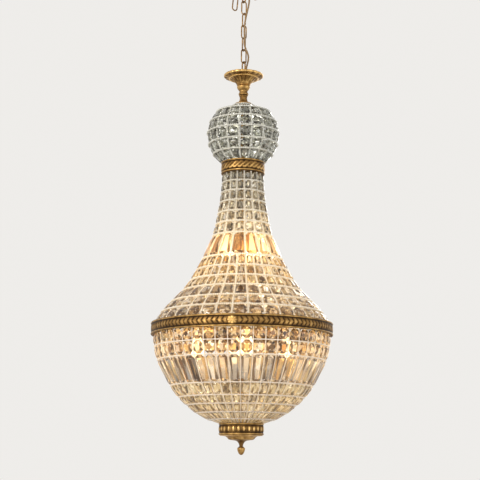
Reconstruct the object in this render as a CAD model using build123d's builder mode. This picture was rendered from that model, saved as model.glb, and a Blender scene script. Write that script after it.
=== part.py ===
from build123d import *

# Crystal chandelier in the hot-air-balloon form: a ball and a bell-shaped basket of faceted
# crystals, strung on beaded wires between three bronze bands, hung by a chain from a ceiling hook.
# Frame: the origin is on the ceiling plane, above the chain; +Z is up and -Y is the front.
# Sizes are in millimetres. Heights run downwards, each one from the piece above it.

import os
from math import cos, hypot, pi, radians, sin, sqrt, tan

os.makedirs("parts", exist_ok=True)

# ---- Clearances ----------------------------------------------------------------------
seat = 0.3  # between pieces that rest on each other
fit = 0.1  # radial, between a rod or tube and its bore
slack = 0.3  # radial, round the supply cord

# ---- Ceiling bracket, hook and canopy ---------------------------------------------------
bracket_length = 100.0
bracket_width = 22.0
bracket_thickness = 2.0
bracket_screw_pitch = 76.0
bracket_screw_hole = 5.0
hook_drop = 80.4  # ceiling to the centre of the hook's lowest wire
hook_wire = 5.0
hook_radius = 12.0  # centre line of the bow
hook_bend = 50.0  # degrees the shank turns aside before the bow
hook_bend_radius = 8.0
hook_mouth = 20.0  # degrees the tip runs on past the bow's side
hook_nut_across = 10.0
hook_nut_height = 4.0
canopy_radius = 62.0
canopy_flat_radius = 26.0
canopy_lip = 4.0
canopy_height = 26.0
canopy_wall = 1.6
canopy_gap = 1.0  # to the ceiling
collar_radius = 11.5
collar_height = 6.0
terminal_size = 20.0
terminal_depth = 13.5
terminal_pocket = 3.0

# ---- Supply cord -------------------------------------------------------------------------
cord_diameter = 5.0
cord_side_offset = 12.5  # from the chain's middle, where a link turns on the X' line
cord_hook_offset = 15.0  # the same, on the Y' line at the hook
cord_front_offset = 13.0  # and on the Y' line in front of the lowest link
cord_lean = 0.56  # sideways per unit of height, where the cord winds round a pivot
cord_joint_gap = 0.8  # between two stretches at a pivot, so that the ends can tilt
cord_entry_x = -8.6  # through the canopy, along the chain's own axes
cord_entry_y = 16.0
grommet_flange = 4.8
grommet_lip = 2.0
grommet_slack = 0.8  # round the cord, which runs a little askew

# ---- Chain --------------------------------------------------------------------------------
chain_turn = 32.0  # degrees the chain is twisted about Z
link_count = 7
link_length = 44.0
link_width = 19.0
link_wire = 3.6
spare_side = 6.5  # of a spare link from the middle of the hook
spare_left_tilts = (33.0, 15.0, 6.0)
spare_right_tilts = (44.0, 24.0)

# ---- Loop, cup and stem ------------------------------------------------------------------
loop_wire = 4.0
loop_span = 34.0  # wire centre to wire centre
loop_stem_radius = 5.0
loop_stem_depth = 13.0  # below the cup's floor
loop_collar_radius = 9.0
loop_collar_height = 4.0
loop_to_floor = 65.0  # loop's top wire to the cup's floor
cup_rim_radius = 56.0
cup_depth = 26.0
cup_floor_radius = 20.0
cup_floor_thickness = 3.0
cup_wall = 2.4
cup_leaves = 18
cup_notch_radius = 3.4
bush_radius = 4.5
bush_x = 13.5  # from the stem, along the chain's own axes
bush_y = 4.0
bush_height = 8.0
stem_height = 31.0
stem_head_radius = 19.0
stem_waist_radius = 11.5
stem_collar_radius = 14.0
cap_height = 28.7
cap_bead_radius = 12.0
cap_waist_radius = 10.5
cap_base_radius = 26.0
cap_base_thickness = 3.0

# ---- Central tube and its nuts ------------------------------------------------------------
tube_radius = 6.5
tube_bore = 5.0
nut_across = 22.0
nut_height = 6.0
plug_height = 14.0

# ---- Beaded net ---------------------------------------------------------------------------
strand_sink = 0.2  # upright strands lie this far inside the cell faces
hoop_lift = 0.3  # hoops lie this far outside them
crystal_girdle = 2.0
crystal_bevel = 4.0
crystal_bevel_share = 0.28  # of the narrow end, where a crystal is small
strand_run_on = 6.0  # past the last level, before the level cut
neck_inset = 7.9  # a net's end level, inside the band that holds it
skirt_inset = 13.0
bowl_inset = 11.0
bowl_foot_inset = 3.4

# ---- Ball -----------------------------------------------------------------------------------
ball_columns = 17
ball_turn = 3.7
ball_strand = 4.0
ball_gap = 6.2
ball_radius = 97.0
ball_top_radius = 28.0
ball_top_room = 5.4  # between the cap and the first level, for the top hoop
ball_top_rise = 84.0  # first level above the ball's centre
ball_latitudes = (41.0, 21.5, 2.8, -16.5, -34.5)
ball_seat_drop = 79.5  # ball's centre to the neck band

# ---- Neck: six rows of square crystals and one of long ones -----------------------------------
neck_band_radius = 61.5
neck_band_height = 34.0
neck_band_reach = 50.0  # inner edge of its flanges
neck_columns = 17
neck_turn = -6.5
neck_strand = 4.0
neck_gap = 5.6
neck_profile = (  # radius, drop below the neck band
    (53.6, seat),
    (54.2, 27.0),
    (56.3, 55.0),
    (59.8, 84.0),
    (65.3, 114.5),
    (71.0, 145.5),
    (79.0, 179.0),
    (107.5, 245.0),
)

# ---- Skirt: six rows that flare out to the main band --------------------------------------------
skirt_columns = 2 * neck_columns
skirt_turn = neck_turn + 180 / skirt_columns
skirt_strand = 3.6
skirt_gap = 5.8
skirt_profile = (  # radius, drop below the long crystals
    (107.5, 0.0),
    (124.5, 31.0),
    (140.5, 60.5),
    (162.5, 90.0),
    (193.0, 121.0),
    (219.0, 149.5),
    (237.0, 178.7),
)

# ---- Main band and the ring inside it -------------------------------------------------------------
main_band_radius = 250.0
main_band_height = 33.0
main_band_wall = 4.7
main_ring_height = 28.0
main_ring_width = 11.0

# ---- Bowl: two rows, the long crystals and five narrowing rows ---------------------------------------
bowl_columns = 45
bowl_turn = 3.1
bowl_strand = 3.0
bowl_gap = 4.0
bowl_profile = (  # radius, drop below the main ring
    (239.0, seat),
    (236.5, 34.0),
    (227.5, 70.7),
    (191.5, 139.5),
    (168.0, 170.0),
    (146.0, 190.7),
    (120.0, 211.7),
    (90.0, 228.7),
    (58.0, 239.2),
)

# ---- Bottom band, dish and finial -------------------------------------------------------------------------
bottom_band_radius = 61.4
bottom_band_height = 31.0
bottom_band_reach = 47.0
bottom_band_room = 0.6  # between the last level and the band's top
dish_radius = 58.6
dish_shoulder = 31.0  # radius of its flat underside
dish_depth = 13.0
dish_wall = 2.0
dish_stem_radius = 4.8
dish_stem_length = 30.5
finial_rod_radius = 2.5
finial_rod_length = 44.0
finial_cap_radius = 6.7
finial_radius = 10.5
finial_height = 22.5

# ---- Bands' relief rims -----------------------------------------------------------------------------------
band_wall = 2.5
band_flange = 2.5
rim_height = 5.0
rim_recess = 2.0

# ---- Spiders and plates on the tube ---------------------------------------------------------------------------
hub_radius = 16.0
hub_height = 10.0
spoke_width = 14.0
spoke_thickness = 4.0
main_spokes = 6
neck_spokes = 4
plate_thickness = 3.0
plate_hole_radius = 11.0
plate_holes = 6

# ---- Lamps -----------------------------------------------------------------------------------------------------
arm_radius = 4.0
holder_radius = 13.0
holder_height = 42.0
holder_bore = 7.1
holder_bore_depth = 20.0
pan_radius = 21.0
pan_thickness = 2.0
bulb_radius = 17.5
bulb_height = 76.0
bulb_waist_height = 30.0  # of the widest part
bulb_screw_radius = 6.8
bulb_screw_length = 18.0
lower_lamps = 4
lower_lamp_radius = 122.0
lower_lamp_turn = 6.0
lower_lamp_drop = 52.0  # main band to the widest part of the bulbs
lower_arm_bend = 20.0
upper_lamps = 3
upper_lamp_radius = 42.0
upper_lamp_turn = 42.0
upper_lamp_rise = 215.0
upper_arm_bend = 14.0

# ---- Heights worked out from the sizes above ----------------------------------------------------------------------
link_span = link_length - link_wire
link_rise = link_wire + seat  # a hanging link's top wire above the wire that carries it
hook_rise = (hook_wire + link_wire) / 2 + seat
pivots = [-hook_drop]  # hook to link 1, link 1 to link 2, and so on down to the loop
for number in range(link_count):
    rise = hook_rise if number == 0 else link_rise
    pivots.append(pivots[-1] + rise - link_span)
loop_z = pivots[-1] + (link_wire + loop_wire) / 2 + seat
floor_z = loop_z - loop_to_floor
stem_z = floor_z - cup_floor_thickness - seat
cap_z = stem_z - stem_height - seat
cap_base_z = cap_z - cap_height
ball_top_z = cap_base_z - ball_top_room
ball_z = ball_top_z - ball_top_rise
neck_top_z = ball_z - ball_seat_drop
neck_z = neck_top_z - neck_band_height
skirt_z = neck_z - neck_profile[-1][1]
ring_top_z = skirt_z - skirt_profile[-1][1] - seat
band_z = ring_top_z - main_ring_height / 2
ring_low_z = ring_top_z - main_ring_height
bottom_z = ring_low_z - bowl_profile[-1][1] - bottom_band_room
dish_z = bottom_z - bottom_band_height - seat
finial_z = dish_z - dish_stem_length - seat

# ---- Directions of the twisted chain ----------------------------------------------------------------------------------
chain_x = Vector(cos(radians(chain_turn)), sin(radians(chain_turn)), 0)
chain_y = Vector(-sin(radians(chain_turn)), cos(radians(chain_turn)), 0)


def chain_point(x, y, z):
    """A point given along the twisted chain's own axes."""
    return chain_x * x + chain_y * y + Vector(0, 0, z)


def save(part, name):
    """Label one finished piece and write it to its own file."""
    part.label = name
    export_step(part, f"parts/{name}.step")


# ======================================== Ceiling ==========================================
hook_centre_z = -hook_drop + hook_radius
bend = radians(hook_bend)
hook_slant = (hook_radius * cos(bend) - hook_bend_radius * (1 - cos(bend))) / sin(bend)
shank_end_z = hook_centre_z + (hook_bend_radius + hook_radius) * sin(bend) + hook_slant * cos(bend)
bracket_plane = Plane(origin=(0, 0, 0), x_dir=chain_y, z_dir=(0, 0, 1))

with BuildPart() as mounting_bracket:
    with BuildSketch(bracket_plane.offset(-bracket_thickness)):
        SlotOverall(bracket_length, bracket_width)
        Circle(hook_wire / 2 + fit, mode=Mode.SUBTRACT)
        with GridLocations(bracket_screw_pitch, 1, 2, 1):
            Circle(bracket_screw_hole / 2, mode=Mode.SUBTRACT)
    extrude(amount=bracket_thickness)
save(mounting_bracket.part, "mounting_bracket")

hook_plane = Plane(origin=(0, 0, 0), x_dir=chain_y, z_dir=chain_x)
with BuildPart() as ceiling_hook:
    with BuildLine(hook_plane) as hook_path:
        Line((0, -seat), (0, shank_end_z))
        aside = JernArc((0, shank_end_z), (0, -1), hook_bend_radius, -hook_bend)
        slant = Line(aside @ 1, (aside @ 1) + (aside % 1) * hook_slant)
        JernArc(slant @ 1, slant % 1, hook_radius, hook_bend + 180 + hook_mouth)
    with BuildSketch(Plane(origin=(0, 0, -seat), z_dir=(0, 0, -1))):
        Circle(hook_wire / 2)
    sweep(path=hook_path.line)
save(ceiling_hook.part, "ceiling_hook")

with BuildPart() as hook_nut:
    with BuildSketch(bracket_plane.offset(-bracket_thickness - seat - hook_nut_height)):
        RegularPolygon(hook_nut_across / 2, 6, major_radius=False)
        Circle(hook_wire / 2 + fit, mode=Mode.SUBTRACT)
    extrude(amount=hook_nut_height)
save(hook_nut.part, "hook_nut")

cord_entry = chain_point(cord_entry_x, cord_entry_y, 0)
terminal_top_z = -bracket_thickness - seat
terminal_z = terminal_top_z - terminal_depth
with BuildPart() as terminal_block:
    with BuildSketch(Plane(origin=cord_entry + Vector(0, 0, terminal_z), x_dir=chain_x, z_dir=(0, 0, 1))):
        RectangleRounded(terminal_size, terminal_size / 2, 1.0)
    extrude(amount=terminal_depth)
    with BuildSketch(Plane(origin=cord_entry + Vector(0, 0, terminal_z), z_dir=(0, 0, 1))):
        Circle(cord_diameter / 2 + slack)
    extrude(amount=terminal_pocket, mode=Mode.SUBTRACT)
save(terminal_block.part, "terminal_block")

# The canopy is a bell with a flat underside, bored for the shank and for the cord's grommet.
canopy_top_z = -canopy_gap
canopy_low_z = canopy_top_z - canopy_height
grommet_hole = grommet_flange - 1.1
with BuildPart() as canopy:
    with BuildSketch(Plane.XZ):
        with BuildLine():
            bore = hook_wire / 2 + slack
            inside_z = canopy_low_z + canopy_wall
            inside_radius = canopy_radius - canopy_wall
            lip_z = canopy_top_z - canopy_lip
            Line((bore, canopy_low_z), (canopy_flat_radius, canopy_low_z))
            Spline((canopy_flat_radius, canopy_low_z), (canopy_radius, lip_z), tangents=((1, 0), (0, 1)))
            Line((canopy_radius, lip_z), (canopy_radius, canopy_top_z))
            Line((canopy_radius, canopy_top_z), (inside_radius, canopy_top_z))
            Line((inside_radius, canopy_top_z), (inside_radius, lip_z))
            Spline((inside_radius, lip_z), (canopy_flat_radius, inside_z), tangents=((0, -1), (-1, 0)))
            Line((canopy_flat_radius, inside_z), (bore, inside_z))
            Line((bore, inside_z), (bore, canopy_low_z))
        make_face()
    revolve(axis=Axis.Z)
    with BuildSketch(Plane(origin=cord_entry + Vector(0, 0, canopy_low_z), z_dir=(0, 0, 1))):
        Circle(grommet_hole)
    extrude(amount=canopy_wall, mode=Mode.SUBTRACT)
save(canopy.part, "canopy")

with BuildPart() as canopy_collar:
    with BuildSketch(Plane.XY.offset(canopy_low_z - seat - collar_height)):
        Circle(collar_radius)
        Circle(hook_wire / 2 + slack, mode=Mode.SUBTRACT)
    extrude(amount=collar_height)
    chamfer(canopy_collar.edges().filter_by(GeomType.CIRCLE).sort_by(SortBy.RADIUS)[-2:], length=1.2)
save(canopy_collar.part, "canopy_collar")

grommet_bore = cord_diameter / 2 + grommet_slack
grommet_neck = grommet_hole - fit
grommet_half = canopy_wall / 2 + fit
grommet_z = canopy_low_z + canopy_wall / 2
with BuildPart() as cord_grommet:
    with BuildSketch(Plane(origin=cord_entry + Vector(0, 0, grommet_z), x_dir=chain_x, z_dir=-chain_y)):
        with BuildLine():
            Polyline(
                (grommet_bore, -grommet_half - grommet_lip),
                (grommet_flange, -grommet_half - grommet_lip),
                (grommet_flange, -grommet_half),
                (grommet_neck, -grommet_half),
                (grommet_neck, grommet_half),
                (grommet_flange, grommet_half),
                (grommet_flange, grommet_half + grommet_lip),
                (grommet_bore, grommet_half + grommet_lip),
                close=True,
            )
        make_face()
    revolve(axis=Axis(cord_entry, (0, 0, 1)))
save(cord_grommet.part, "cord_grommet")


# ========================================= Chain ===========================================
def chain_link(plane):
    """One welded link, its long way up the plane's Y and its middle at the plane's origin."""
    half_width = (link_width - link_wire) / 2
    half_straight = link_span / 2 - half_width
    with BuildPart() as link:
        with BuildLine(plane) as path:
            Line((half_width, -half_straight), (half_width, half_straight))
            CenterArc((0, half_straight), half_width, 0, 180)
            Line((-half_width, half_straight), (-half_width, -half_straight))
            CenterArc((0, -half_straight), half_width, 180, 180)
        with BuildSketch(Plane(origin=path.line @ 0, z_dir=path.line % 0)):
            Circle(link_wire / 2)
        sweep()
    return link


for number in range(1, link_count + 1):
    middle = Vector(0, 0, pivots[number] + link_span / 2)
    side = chain_x if number % 2 else chain_y
    facing = chain_y * -1 if number % 2 else chain_x
    link = chain_link(Plane(origin=middle, x_dir=side, z_dir=facing))
    save(link.part, f"chain_link_{number}")


def spare_links(side, tilts, sign):
    """Links that hang from the hook beside the chain: each tilt is a link's lean off the plumb line."""
    end_radius = (link_width - link_wire) / 2
    inner_radius = hook_radius - hook_rise
    wire_z = hook_centre_z - sqrt(hook_radius**2 - side**2)
    top_z = hook_centre_z - sqrt(inner_radius**2 - side**2)
    start = chain_point(0, side, wire_z)
    reach = link_span / 2 - (top_z - wire_z)
    links = []
    for position, tilt in enumerate(tilts):
        lean = chain_point(sign * sin(radians(tilt)), 0, -cos(radians(tilt)))
        across = chain_y.cross(lean)
        middle = start + lean * reach
        if position % 2:
            links.append(chain_link(Plane(origin=middle, x_dir=chain_y, z_dir=across)))
        else:
            links.append(chain_link(Plane(origin=middle, x_dir=across, z_dir=chain_y)))
        start = middle + lean * (link_span / 2 - end_radius)
        reach = end_radius - link_rise + link_span / 2
    return links


with BuildPart() as spare_chain:
    for link in spare_links(spare_side, spare_left_tilts, -1):
        add(link.part)
    for link in spare_links(-spare_side, spare_right_tilts, 1):
        add(link.part)
save(spare_chain.part, "spare_chain")

# ======================================= Supply cord ========================================
cord_radius = cord_diameter / 2
half_gap = cord_joint_gap / 2
bush_top_z = floor_z + bush_height


def cord_tube(name, points):
    """A round cord along straight runs with a tangent arc at each corner; the arc radii are printed."""
    runs = [(points[i + 1] - points[i]).length for i in range(len(points) - 1)]
    radii = []
    for i in range(1, len(points) - 1):
        turn = (points[i] - points[i - 1]).get_angle(points[i + 1] - points[i])
        radii.append(0.45 * min(runs[i - 1], runs[i]) / tan(radians(turn / 2)))
    with BuildPart() as tube:
        with BuildLine() as path:
            if radii:
                FilletPolyline(*points, radius=radii)
            else:
                Line(*points)
        with BuildSketch(Plane(origin=path.line @ 0, z_dir=path.line % 0)):
            Circle(cord_radius)
        sweep(path=path.line)
    expected = pi * cord_radius**2 * sum(edge.length for edge in path.edges())
    print(name, "radii", [round(r, 1) for r in radii], "volume share", round(tube.part.volume / expected, 4))
    return tube


# The cord winds round the chain. It crosses each moving pivot on that pivot's own axis, in the
# middle of a straight run that is cut there, so that its ends only tilt.
hook_pivot = pivots[0]
first_pivot = pivots[1]
last_pivot = pivots[-2]
loop_pivot = pivots[-1]


def crossing(x, y, pivot_z, lean_x, lean_y, drop):
    """A point on the straight run through a pivot: a drop below it, leaning along the chain's axes."""
    return chain_point(x + lean_x * drop, y + lean_y * drop, pivot_z - drop)


cord_routes = {
    "supply_cord_top": (
        chain_point(cord_entry_x, cord_entry_y, terminal_z + terminal_pocket - seat),
        chain_point(cord_entry_x - 0.3, cord_entry_y + 0.2, terminal_z - 27),
        crossing(0, cord_hook_offset, hook_pivot, cord_lean, 0, -15),
        crossing(0, cord_hook_offset, hook_pivot, cord_lean, 0, -half_gap),
    ),
    "supply_cord_upper": (
        crossing(0, cord_hook_offset, hook_pivot, cord_lean, 0, half_gap),
        crossing(0, cord_hook_offset, hook_pivot, cord_lean, 0, 12),
        crossing(cord_side_offset, 0, first_pivot, 0, -cord_lean, -12),
        crossing(cord_side_offset, 0, first_pivot, 0, -cord_lean, -half_gap),
    ),
    "supply_cord_run": (
        crossing(cord_side_offset, 0, first_pivot, 0, -cord_lean, half_gap),
        crossing(cord_side_offset, 0, first_pivot, 0, -cord_lean, 17),
        chain_point(9, -13.5, first_pivot - 40),
        chain_point(2, -15.5, first_pivot - 66),
        chain_point(-5, -14.5, first_pivot - 96),
        chain_point(-7, -13, last_pivot + 56.5),
        chain_point(-6, -14, last_pivot + 32.5),
        crossing(0, -cord_front_offset, last_pivot, cord_lean, 0, -14),
        crossing(0, -cord_front_offset, last_pivot, cord_lean, 0, -half_gap),
    ),
    "supply_cord_lower": (
        crossing(0, -cord_front_offset, last_pivot, cord_lean, 0, half_gap),
        crossing(0, -cord_front_offset, last_pivot, cord_lean, 0, 12),
        crossing(cord_side_offset, 0, loop_pivot, 0, cord_lean, -12),
        crossing(cord_side_offset, 0, loop_pivot, 0, cord_lean, -half_gap),
    ),
    "supply_cord_tail": (
        crossing(cord_side_offset, 0, loop_pivot, 0, cord_lean, half_gap),
        crossing(cord_side_offset, 0, loop_pivot, 0, cord_lean, 14),
        chain_point(cord_side_offset + 1.5, 7, loop_pivot - 30),
        chain_point(bush_x, bush_y, bush_top_z + 9),
        chain_point(bush_x, bush_y, floor_z + seat),
    ),
}
for name, points in cord_routes.items():
    save(cord_tube(name, points).part, name)

# ===================================== Loop, cup and stem ======================================
stem_bottom = floor_z - loop_stem_depth
with BuildPart() as top_loop:
    half_width = (link_width - loop_wire) / 2
    half_straight = loop_span / 2 - half_width
    loop_middle = Vector(0, 0, loop_z - loop_span / 2)
    with BuildLine(Plane(origin=loop_middle, x_dir=chain_y, z_dir=chain_x)) as path:
        Line((half_width, -half_straight), (half_width, half_straight))
        CenterArc((0, half_straight), half_width, 0, 180)
        Line((-half_width, half_straight), (-half_width, -half_straight))
        CenterArc((0, -half_straight), half_width, 180, 180)
    with BuildSketch(Plane(origin=path.line @ 0, z_dir=path.line % 0)):
        Circle(loop_wire / 2)
    sweep()
    with BuildSketch(Plane.XY.offset(stem_bottom)):
        Circle(loop_stem_radius)
    extrude(amount=loop_z - loop_span - stem_bottom)
    with BuildSketch(Plane.XY.offset(floor_z + seat)):
        Circle(loop_collar_radius)
    extrude(amount=loop_collar_height)
save(top_loop.part, "top_loop")

cup_bore = loop_stem_radius + fit
bush_seat = chain_point(bush_x, bush_y, 0)
cup_rim_z = floor_z + cup_depth
with BuildPart() as top_cup:
    with BuildSketch(Plane.XZ):
        with BuildLine():
            under_z = floor_z - cup_floor_thickness
            edge = (cup_rim_radius, cup_rim_z - 4)
            lip = (cup_rim_radius - 1.5, cup_rim_z)
            inner_lip = (cup_rim_radius - 3.5, cup_rim_z - 1)
            foot = (cup_floor_radius + 6, floor_z + 5)
            inner_foot = (cup_floor_radius + 6 - cup_wall, floor_z + 5 + cup_wall)
            Line((cup_bore, under_z), (cup_floor_radius, under_z))
            Spline((cup_floor_radius, under_z), foot, edge, tangents=((0.3, 1), (1, 0.7)))
            Spline(edge, (cup_rim_radius + 0.3, cup_rim_z - 1.5), lip)
            Line(lip, inner_lip)
            Spline(inner_lip, inner_foot, (cup_floor_radius - 1, floor_z), tangents=((-1, -0.7), (-0.3, -1)))
            Line((cup_floor_radius - 1, floor_z), (cup_bore, floor_z))
            Line((cup_bore, floor_z), (cup_bore, floor_z - cup_floor_thickness))
        make_face()
    revolve(axis=Axis.Z)
    with BuildSketch(Plane.XY.offset(floor_z + cup_depth * 0.5)):
        with PolarLocations(cup_rim_radius + 1.6, cup_leaves):
            Circle(cup_notch_radius)
    extrude(amount=cup_depth, mode=Mode.SUBTRACT)
    with BuildSketch(Plane(origin=bush_seat + Vector(0, 0, floor_z - cup_floor_thickness))):
        Circle(bush_radius - 1.5)
    extrude(amount=cup_floor_thickness, mode=Mode.SUBTRACT)
save(top_cup.part, "top_cup")

with BuildPart() as cord_bush:
    with BuildSketch(Plane(origin=bush_seat + Vector(0, 0, floor_z + seat))):
        Circle(bush_radius)
        Circle(cord_radius + slack, mode=Mode.SUBTRACT)
    extrude(amount=bush_height)
    chamfer(cord_bush.edges().group_by(Axis.Z)[-1].sort_by(SortBy.RADIUS)[-1], length=0.9)
save(cord_bush.part, "cord_bush")

tube_top_z = stem_bottom - 2
with BuildPart() as stem_baluster:
    with BuildSketch(Plane.XZ):
        with BuildLine():
            low = stem_z - stem_height
            Line((cup_bore, stem_z), (stem_head_radius, stem_z))
            Line((stem_head_radius, stem_z), (stem_head_radius, stem_z - 2))
            Line((stem_head_radius, stem_z - 2), (stem_head_radius - 2, stem_z - 3.2))
            ThreePointArc(
                (stem_head_radius - 2, stem_z - 3.2),
                (stem_head_radius - 0.6, stem_z - 8.5),
                (stem_waist_radius + 1, stem_z - 18),
            )
            Line((stem_waist_radius + 1, stem_z - 18), (stem_waist_radius, stem_z - 20.5))
            Line((stem_waist_radius, stem_z - 20.5), (stem_waist_radius + 1, low + 4.5))
            Line((stem_waist_radius + 1, low + 4.5), (stem_collar_radius - 1, low + 4.5))
            ThreePointArc(
                (stem_collar_radius - 1, low + 4.5), (stem_collar_radius, low + 2.6), (stem_collar_radius - 1, low)
            )
            Line((stem_collar_radius - 1, low), (tube_radius + fit, low))
            Line((tube_radius + fit, low), (tube_radius + fit, tube_top_z + seat))
            Line((tube_radius + fit, tube_top_z + seat), (cup_bore, tube_top_z + seat))
            Line((cup_bore, tube_top_z + seat), (cup_bore, stem_z))
        make_face()
    revolve(axis=Axis.Z)
save(stem_baluster.part, "stem_baluster")

with BuildPart() as ball_cap:
    with BuildSketch(Plane.XZ):
        with BuildLine():
            base_top = cap_base_z + cap_base_thickness
            Line((tube_radius + fit, cap_z), (cap_bead_radius - 1.5, cap_z))
            ThreePointArc(
                (cap_bead_radius - 1.5, cap_z),
                (cap_bead_radius, cap_z - 2.8),
                (cap_waist_radius, cap_z - 6),
            )
            ThreePointArc(
                (cap_waist_radius, cap_z - 6),
                (cap_waist_radius + 1.3, cap_z - 18),
                (cap_base_radius - 4, base_top + 1),
            )
            Line((cap_base_radius - 4, base_top + 1), (cap_base_radius - 1, base_top))
            Line((cap_base_radius - 1, base_top), (cap_base_radius, cap_base_z + 1))
            Line((cap_base_radius, cap_base_z + 1), (cap_base_radius, cap_base_z))
            Line((cap_base_radius, cap_base_z), (tube_radius + fit, cap_base_z))
            Line((tube_radius + fit, cap_base_z), (tube_radius + fit, cap_z))
        make_face()
    revolve(axis=Axis.Z)
save(ball_cap.part, "ball_cap")


# ========================================= Beaded net ==========================================
class Net:
    """One stretch of the net: columns of flat cells between levels, each level a (radius, height)."""

    def __init__(self, columns, turn, strand, gap, levels):
        self.columns = columns
        self.turn = turn
        self.strand = strand
        self.gap = gap
        self.levels = levels
        self.corner = 1 / cos(pi / columns)

    def row_normal(self, row):
        """Outward normal of a row's faces, in the radius and height plane."""
        top_r, top_z = self.levels[row]
        low_r, low_z = self.levels[row + 1]
        return Vector(top_z - low_z, low_r - top_r).normalized()

    def level_normal(self, level):
        """Outward normal at a level: midway between the rows above and below it."""
        above = self.row_normal(max(level - 1, 0))
        below = self.row_normal(min(level, len(self.levels) - 2))
        return (above + below).normalized()

    def shifted(self, depth):
        """The corner line of the net, moved in by a depth, with a mitre at each level."""
        points = []
        last = len(self.levels) - 1
        for level, (radius, height) in enumerate(self.levels):
            normal = self.level_normal(level)
            mitre = 1.0 if level in (0, last) else normal.dot(self.row_normal(level))
            points.append(Vector(radius * self.corner, height) - normal * (depth / mitre))
        first_way = (points[0] - points[1]).normalized()
        last_way = (points[last] - points[last - 1]).normalized()
        return [points[0] + first_way * strand_run_on, *points, points[last] + last_way * strand_run_on]


def crystal_row(net, row):
    """One row of faceted crystals: flat four-sided plates with a bevel round each face."""
    top_r, top_z = net.levels[row]
    low_r, low_z = net.levels[row + 1]
    length = hypot(low_r - top_r, low_z - top_z)
    middle_r = (top_r + low_r) / 2
    middle = Vector(middle_r, 0, (top_z + low_z) / 2)
    outward = Vector(top_z - low_z, 0, low_r - top_r)
    half_height = (length - net.gap) / 2

    def half_width(up):
        return (middle_r - (low_r - top_r) * up / length) * tan(pi / net.columns) - net.gap / 2

    top_half = half_width(half_height)
    low_half = half_width(-half_height)
    bevel = min(crystal_bevel, crystal_bevel_share * 2 * min(top_half, low_half))
    with BuildPart() as cell:
        with BuildSketch(Plane(origin=middle, x_dir=(0, 1, 0), z_dir=outward)):
            with BuildLine():
                Polyline(
                    (-top_half, half_height),
                    (top_half, half_height),
                    (low_half, -half_height),
                    (-low_half, -half_height),
                    close=True,
                )
            make_face()
        extrude(amount=crystal_girdle / 2 + bevel, both=True)
        through = Axis(middle, outward)
        chamfer(cell.faces().sort_by(through)[-1].edges(), length=bevel)
        chamfer(cell.faces().sort_by(through)[0].edges(), length=bevel)
    with BuildPart() as ring:
        with PolarLocations(0, net.columns, start_angle=net.turn - 90):
            add(cell.part)
    return ring


def crystals(net, rows):
    """The crystals of several rows together."""
    with BuildPart() as group:
        for row in rows:
            add(crystal_row(net, row).part)
    return group


def upright_strands(net, high_z, low_z):
    """The net's upright strands, one at each corner of the cells, cut level at both ends."""
    outer = net.shifted(strand_sink)
    inner = net.shifted(strand_sink + net.strand)
    widest = 2 * max(radius for radius, height in net.levels) * net.corner
    with BuildPart() as strand:
        with BuildSketch(Plane.XZ):
            with BuildLine():
                Polyline(*outer, *reversed(inner), close=True)
            make_face()
            with Locations((0, (high_z + low_z) / 2)):
                Rectangle(2 * widest, high_z - low_z, mode=Mode.INTERSECT)
        extrude(amount=net.strand / 2, both=True)
    with BuildPart() as group:
        with PolarLocations(0, net.columns, start_angle=net.turn - 90 + 180 / net.columns):
            add(strand.part)
    return group


def hoops(net, levels):
    """Round strands outside the net, one at each of these levels."""
    with BuildPart() as group:
        for level in levels:
            radius, height = net.levels[level]
            normal = net.level_normal(level)
            lift = hoop_lift + net.strand / 2
            centre = Vector(radius * net.corner, height) + normal * lift
            lean = Vector(1, 0).get_signed_angle(normal, Vector(0, 0, 1))
            with BuildSketch(Plane.XZ):
                with Locations((centre.X, centre.Y)):
                    Rectangle(net.strand, net.strand, rotation=lean)
            revolve(axis=Axis.Z)
    return group


def dropped(profile, start_z, top_radius, low_radius):
    """Levels of (radius, height) from a profile of (radius, drop), stretched between two end radii."""
    top, low = profile[0][0], profile[-1][0]
    scale = (top_radius - low_radius) / (top - low)
    return [(low_radius + (radius - low) * scale, start_z - drop) for radius, drop in profile]


ball_end_z = neck_top_z + seat
ball_levels = [(ball_top_radius, ball_top_z)]
for latitude in ball_latitudes:
    ball_levels.append((ball_radius * cos(radians(latitude)), ball_z + ball_radius * sin(radians(latitude))))
ball_levels.append((sqrt(ball_radius**2 - (ball_z - ball_end_z) ** 2), ball_end_z))
ball_net = Net(ball_columns, ball_turn, ball_strand, ball_gap, ball_levels)
waist_radius = neck_profile[-1][0]
neck_levels = dropped(neck_profile, neck_z, neck_band_radius - neck_inset, waist_radius)
skirt_levels = dropped(skirt_profile, skirt_z, waist_radius, main_band_radius - skirt_inset)
bowl_foot_radius = bottom_band_radius - bowl_foot_inset
bowl_levels = dropped(bowl_profile, ring_low_z, main_band_radius - bowl_inset, bowl_foot_radius)
neck_net = Net(neck_columns, neck_turn, neck_strand, neck_gap, neck_levels)
skirt_net = Net(skirt_columns, skirt_turn, skirt_strand, skirt_gap, skirt_levels)
bowl_net = Net(bowl_columns, bowl_turn, bowl_strand, bowl_gap, bowl_levels)

ball_rows = len(ball_net.levels) - 1
neck_rows = len(neck_net.levels) - 1
skirt_rows = len(skirt_net.levels) - 1
bowl_rows = len(bowl_net.levels) - 1
neck_prism_row = neck_rows - 1
bowl_prism_row = 2

save(crystals(ball_net, range(ball_rows)).part, "ball_crystals")
save(upright_strands(ball_net, cap_base_z - seat, ball_end_z).part, "ball_strands")
save(hoops(ball_net, range(ball_rows)).part, "ball_hoops")

save(crystals(neck_net, range(neck_prism_row)).part, "neck_crystals")
save(crystals(neck_net, [neck_prism_row]).part, "neck_prisms")
save(upright_strands(neck_net, neck_z - seat, skirt_z + strand_sink).part, "neck_strands")
save(hoops(neck_net, range(1, neck_rows + 1)).part, "neck_hoops")

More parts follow.
